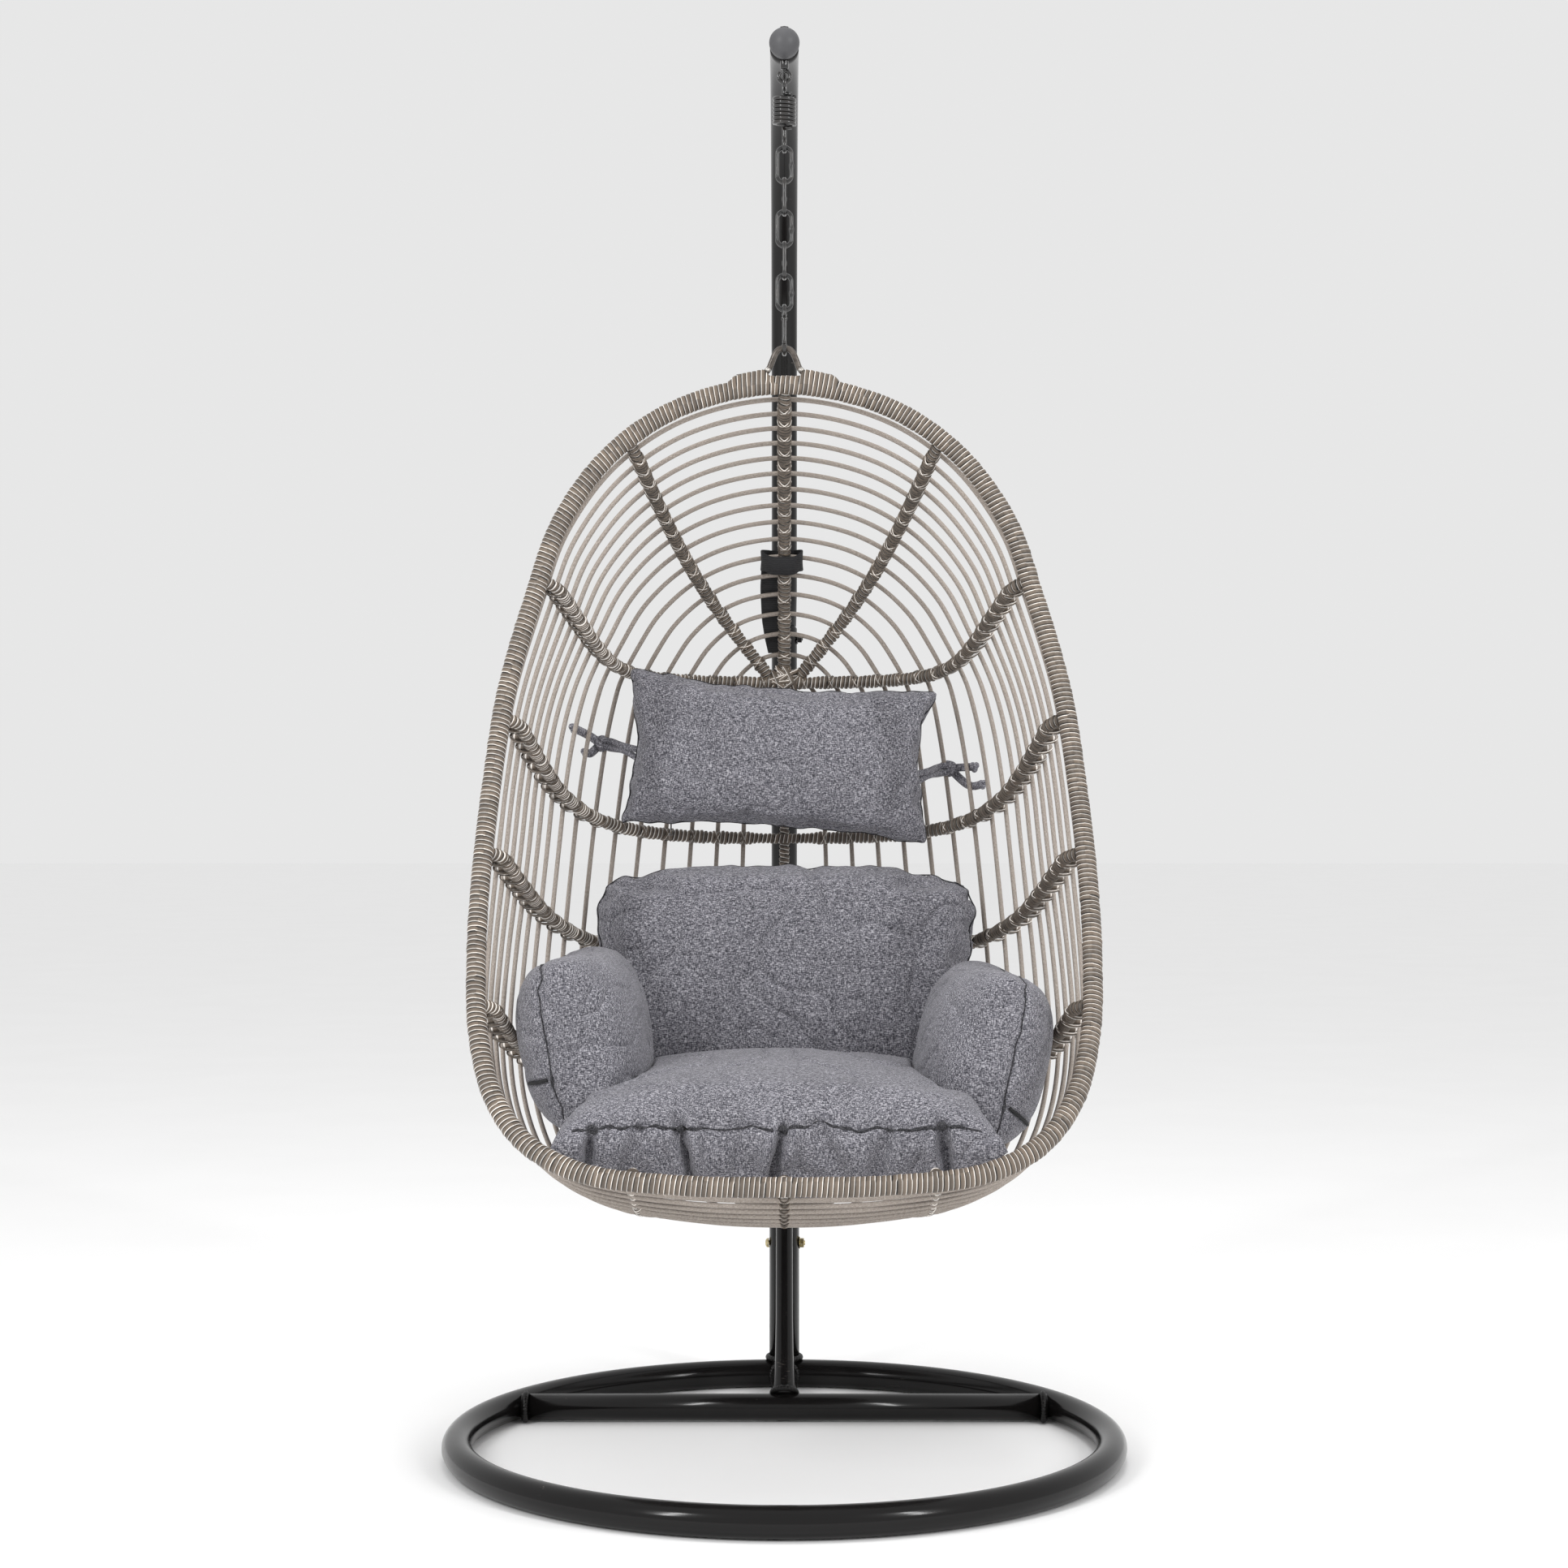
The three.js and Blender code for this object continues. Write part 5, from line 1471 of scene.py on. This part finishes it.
def zipped(pad, line):
    """A closed zip: a dark slit sunk between two lips of cloth."""
    tree = tree_of(pad)
    dense = at(spline(line, per=8), np.linspace(0, 1, 24))
    on = [tree.find_nearest(Vector(p)) for p in dense]
    slit = softened(np.array([tuple(spot) for spot, _, _, _ in on]), 4)
    finder = finder_of(slit)
    co = coordinates(pad)
    normals = normals_of(pad)
    away = np.array([finder.find(p)[2] for p in co])
    shift = 0.0022 * np.exp(-(((away - 0.007) / 0.0035) ** 2)) - 0.0015 * np.exp(-((away / 0.0035) ** 2))
    move_to(pad, co + normals * shift[:, None])
    slit = softened(np.array([tuple(spot + normal * 0.0018) for spot, normal, _, _ in on]), 4)
    join_all(pad, [tubes("zip", [slit], 0.0024, 8, False, WEBBING)])


# ---------- ties, zip pull and strap ----------

def strip(name, line, across, width, thick, material, closed=False):
    """A flat band of webbing or folded cloth along a line; across gives its width's direction."""
    line = np.array(line, float)
    tangent, _, _ = frames(line, closed)
    rows = len(line) - 1 if closed else len(line)
    verts, faces, uvs = [], [], []
    for i in range(rows):
        side = np.array(across[i] if np.ndim(across) > 1 else across, float)
        side = side - tangent[i] * side.dot(tangent[i])
        side /= np.linalg.norm(side)
        up = np.cross(tangent[i], side)
        w = width[i] if np.ndim(width) else width
        for a, b in ((-0.5, -0.3), (-0.46, 0.5), (0, 0.62), (0.46, 0.5), (0.5, -0.3), (0, -0.5)):
            verts.append(line[i] + side * w * a + up * thick * b)
    for i in range(rows if closed else rows - 1):
        n = (i + 1) % rows
        for j in range(6):
            k = (j + 1) % 6
            faces.append((i * 6 + j, i * 6 + k, n * 6 + k, n * 6 + j))
            uvs += [(i, j / 6), (i, k / 6), (i + 1, k / 6), (i + 1, j / 6)]
    if not closed:
        for row in (0, rows - 1):
            faces.append(tuple(row * 6 + j for j in (range(6) if row else reversed(range(6)))))
            uvs += [(row, j / 6) for j in range(6)]
    return mesh_piece(name, verts, faces, uvs, True, material)


def rod_at(number, z, side):
    """Where a rod crosses a height on one side of the back."""
    line = np.array([shell(a, 1 - number / ROD_SPACES) for a in np.linspace(0, 1, 181)])
    spot = line[int(np.argmin(np.abs(line[:, 2] - z * 1000) + 1e6 * (line[:, 1] < 60)))]
    return to_row(spot * np.array([side, 1, 1]))


def knotted(centre, size, cord):
    """A pulled-tight overhand knot in folded cloth."""
    t = np.linspace(0, 2 * np.pi, 61)
    knot = [np.sin(t) + 2 * np.sin(2 * t), np.sin(3 * t) * 1.2, np.cos(t) - 2 * np.cos(2 * t)]
    line = centre + np.stack(knot, 1) * size * np.array([0.9, 1.0, 1.1])
    return tubes("knot", [line], cord, 10, True, CLOTH)


# Each pair of ties: its side, name, height from the pillow's centre, rod, and where its two ends hang.
TIES = (
    (-1, "left", 0.022, 11, (0.058, 0.022), (0.034, -0.014)),
    (1, "right", -0.016, 12, (0.046, 0.002), (0.062, -0.024)),
)


def build_ties(head, centre):
    """Cloth ties that knot the head pillow to a rod at each side, their ends behind the rods."""
    tree = tree_of(head)
    up = np.array([0, 0, 1.0])
    for side, name, rise, number, long_end, short_end in TIES:
        knot = rod_at(number, centre[2] + rise, side)
        wall = rod_at(number - 2, centre[2] + rise, side) - knot
        wall[2] = 0
        wall /= np.linalg.norm(wall)
        behind = np.array([wall[1], -wall[0], 0]) * math.copysign(1, -wall[0])
        start = np.array(tree.find_nearest(Vector(centre + np.array([side * 0.24, 0, rise - 0.01])))[0])

        def spot(along, out, rise):
            return knot + wall * along + behind * out + up * rise

        lines = [
            [start - wall * 0.008, start * 0.5 + spot(-0.004, -0.006, 0.002) * 0.5,
             spot(-0.004, -0.0085, 0.002), spot(0.0085, -0.001, 0.004), spot(0.004, 0.0085, 0.002)],
            [start - wall * 0.008 - up * 0.014, start * 0.5 + spot(-0.004, -0.007, -0.012) * 0.5,
             spot(-0.002, -0.009, -0.008), spot(0.009, -0.002, -0.005), spot(0.006, 0.009, 0.0)],
            [spot(-0.007, 0.002, 0.004), spot(-0.002, 0.011, 0.007), spot(0.011, 0.009, 0.002),
             spot(0.010, 0.000, -0.007), spot(0.001, 0.006, -0.008), spot(0.001, 0.013, 0.002)],
            [spot(0.004, 0.008, 0.0), spot(long_end[0] * 0.4, 0.0105, long_end[1] * 0.45),
             spot(long_end[0], 0.012, long_end[1])],
            [spot(0.004, 0.010, -0.003), spot(short_end[0] * 0.6, 0.013, short_end[1] * 1.1),
             spot(short_end[0], 0.011, short_end[1])],
        ]
        parts = [knotted(spot(0.002, 0.0085, 0.0), 0.0030, 0.0034), knotted(lines[3][-1], 0.0019, 0.0027),
                 knotted(lines[4][-1], 0.0017, 0.0025)]
        for i, points in enumerate(lines):
            line = spline(points, per=8)
            across = np.tile(up * 0.9 - wall * 0.3, (len(line), 1))
            parts.append(strip(f"tie_{name}_{i}", line, across, 0.0120 if i > 2 else 0.0095, 0.0062, CLOTH))
        join_all(parts[0], parts[1:])
        parts[0].name = f"head_tie_{name}"
        placed(parts[0], "basket", "cushion_cloth")


def build_zip_pull(head, centre):
    """The pull of the head pillow's zip, hanging under its lower edge."""
    tree = tree_of(head)
    top = np.array(tree.find_nearest(Vector(centre + np.array([-0.155, 0, -0.15])))[0])
    t = np.linspace(0, 2 * np.pi, 25)
    eye = top + np.stack([0.0022 * np.cos(t), 0 * t, -0.012 + 0.0045 * np.sin(t)], 1)
    bar = top + np.array([(0, 0, 0.002), (0, 0, -0.003), (0, 0, -0.0075)])
    pull = tubes("head_zip_pull", [eye], 0.0008, 8, True, CHAIN)
    join_all(pull, [tubes("zip_bar", [bar], 0.0011, 8, False, CHAIN)])
    placed(pull, "basket", "cushion_cloth")


STRAP_ROD = 10.95               # the strap's height on the rib, in rod spaces from the rim


def build_strap():
    """Black webbing looped round the centre rib, with its free end hanging behind the rods."""
    across = 1 - STRAP_ROD / ROD_SPACES
    here = to_row(shell(0, across))
    step = to_row(shell(0, across - 0.02)) - to_row(shell(0, across + 0.02))
    down = step / np.linalg.norm(step)
    out = np.cross(down, np.array([1.0, 0, 0]))
    out *= math.copysign(1, out[1])
    side = np.array([1.0, 0, 0])
    corners = [(0, 0.0085), (0.020, 0.0080), (0.0275, 0.0), (0.026, -0.016), (0.016, -0.0275), (0, -0.0285),
               (-0.018, -0.0270), (-0.029, -0.016), (-0.031, -0.002), (-0.022, 0.0080)]
    loop = spline([here + side * (a - 0.002) + out * b + down * max(b + 0.016, 0) * 0.5 for a, b in corners],
                  closed=True, per=6)
    band = strip("strap_band", loop, down, 0.0320, 0.0016, WEBBING, True)
    per_share = np.linalg.norm(step) / 0.04
    tail = []
    for k, drift in enumerate((0, -1, -2, -3, -2, -1, 1, 3, 5)):
        share = across - (k * 0.0195 + 0.004) / per_share
        slope = to_row(shell(0, share - 0.02)) - to_row(shell(0, share + 0.02))
        away = np.cross(slope / np.linalg.norm(slope), side)
        away *= math.copysign(1, away[1])
        lift = 0.0105 + 0.0015 * math.sin(k * 1.1)
        tail.append(to_row(shell(0, share)) + away * lift + side * (-0.0165 + drift * 0.0008))
    widths = np.interp(np.linspace(0, 1, 65), [0, 0.7, 0.85, 1], [0.034, 0.034, 0.031, 0.024])
    hanging = strip("strap_tail", spline(tail, per=8), side, widths, 0.0018, WEBBING)
    join_all(band, [hanging])
    band.name = "webbing_strap"
    placed(band, "basket", "webbing", "anti_swing_strap")


# ---------- surroundings ----------

def floor_material():
    n = Nodes("pale_floor")
    tone = n.noise(n.coords(), 3.0, 3)
    n.set(Base_Color=n.ramp(tone, greys((0.3, 0.965), (0.7, 0.98))), Roughness=0.9)
    return n.material


FLOOR_SIZE, FLOOR_DROP, WORLD_LIGHT = 60, 0.0005, 0.80
CAMERA_LENS, CAMERA_SENSOR, CAMERA_REACH = 66.35, 36, 100
CAMERA_X, CAMERA_AWAY, CAMERA_HEIGHT = -0.0005, 4.04, 0.937
# Each lamp: its name, place, aim, size in metres and power in watts.
LAMPS = (
    ("key", (-2.5, -3.2, 2.8), (0, 0, 0.9), (0.20, 1.8), 62),
    ("fill", (2.8, -3.0, 2.4), (0, 0, 1.0), (0.20, 1.8), 52),
    ("top", (0.2, -0.4, 4.2), (0, 0, 0.6), (1.6, 1.2), 50),
)


def build_surroundings():
    bpy.ops.mesh.primitive_plane_add(size=FLOOR_SIZE, location=(0, 0, -FLOOR_DROP))
    floor = bpy.context.object
    floor.name = "floor"
    floor.data.materials.append(floor_material())
    world = bpy.data.worlds.new("studio")
    bpy.context.scene.world = world
    world.use_nodes = True
    background = world.node_tree.nodes["Background"]
    background.inputs["Color"].default_value = (1, 1, 1, 1)
    background.inputs["Strength"].default_value = WORLD_LIGHT
    bpy.context.scene.view_settings.view_transform = "Standard"
    for name, place, aim, size, power in LAMPS:
        data = bpy.data.lights.new(name, "AREA")
        data.shape = "RECTANGLE"
        data.size, data.size_y = size
        data.energy = power
        lamp = bpy.data.objects.new(name, data)
        lamp.location = place
        lamp.visible_glossy = name != "top"     # the upper lamp would leave a pale patch on every tube
        lamp.rotation_euler = (Vector(aim) - Vector(place)).to_track_quat("-Z", "Y").to_euler()
        bpy.context.scene.collection.objects.link(lamp)
    camera = bpy.data.cameras.new("camera")
    camera.sensor_width = CAMERA_SENSOR
    camera.lens = CAMERA_LENS
    camera.clip_end = CAMERA_REACH
    eye = bpy.data.objects.new("camera", camera)
    eye.location = (CAMERA_X, RING.y - CAMERA_AWAY, CAMERA_HEIGHT)
    eye.rotation_euler = (math.pi / 2, 0, 0)
    bpy.context.scene.collection.objects.link(eye)
    bpy.context.scene.camera = eye


def dress_nodes():
    """Materials for the CAD nodes that are shown as they are."""
    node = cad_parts["mast_spigot"]
    node.data.materials.clear()
    node.data.materials.append(PAINT)


build_stand()
build_arm_hook()
build_spring()
build_chain()
build_snap_hook()
build_rim()
build_rods()
rib_lines = build_ribs()
build_bindings(rib_lines)
build_loop()
head_pillow, head_centre = build_cushions(rib_lines)
build_ties(head_pillow, head_centre)
build_zip_pull(head_pillow, head_centre)
build_strap()
dress_nodes()
build_surroundings()
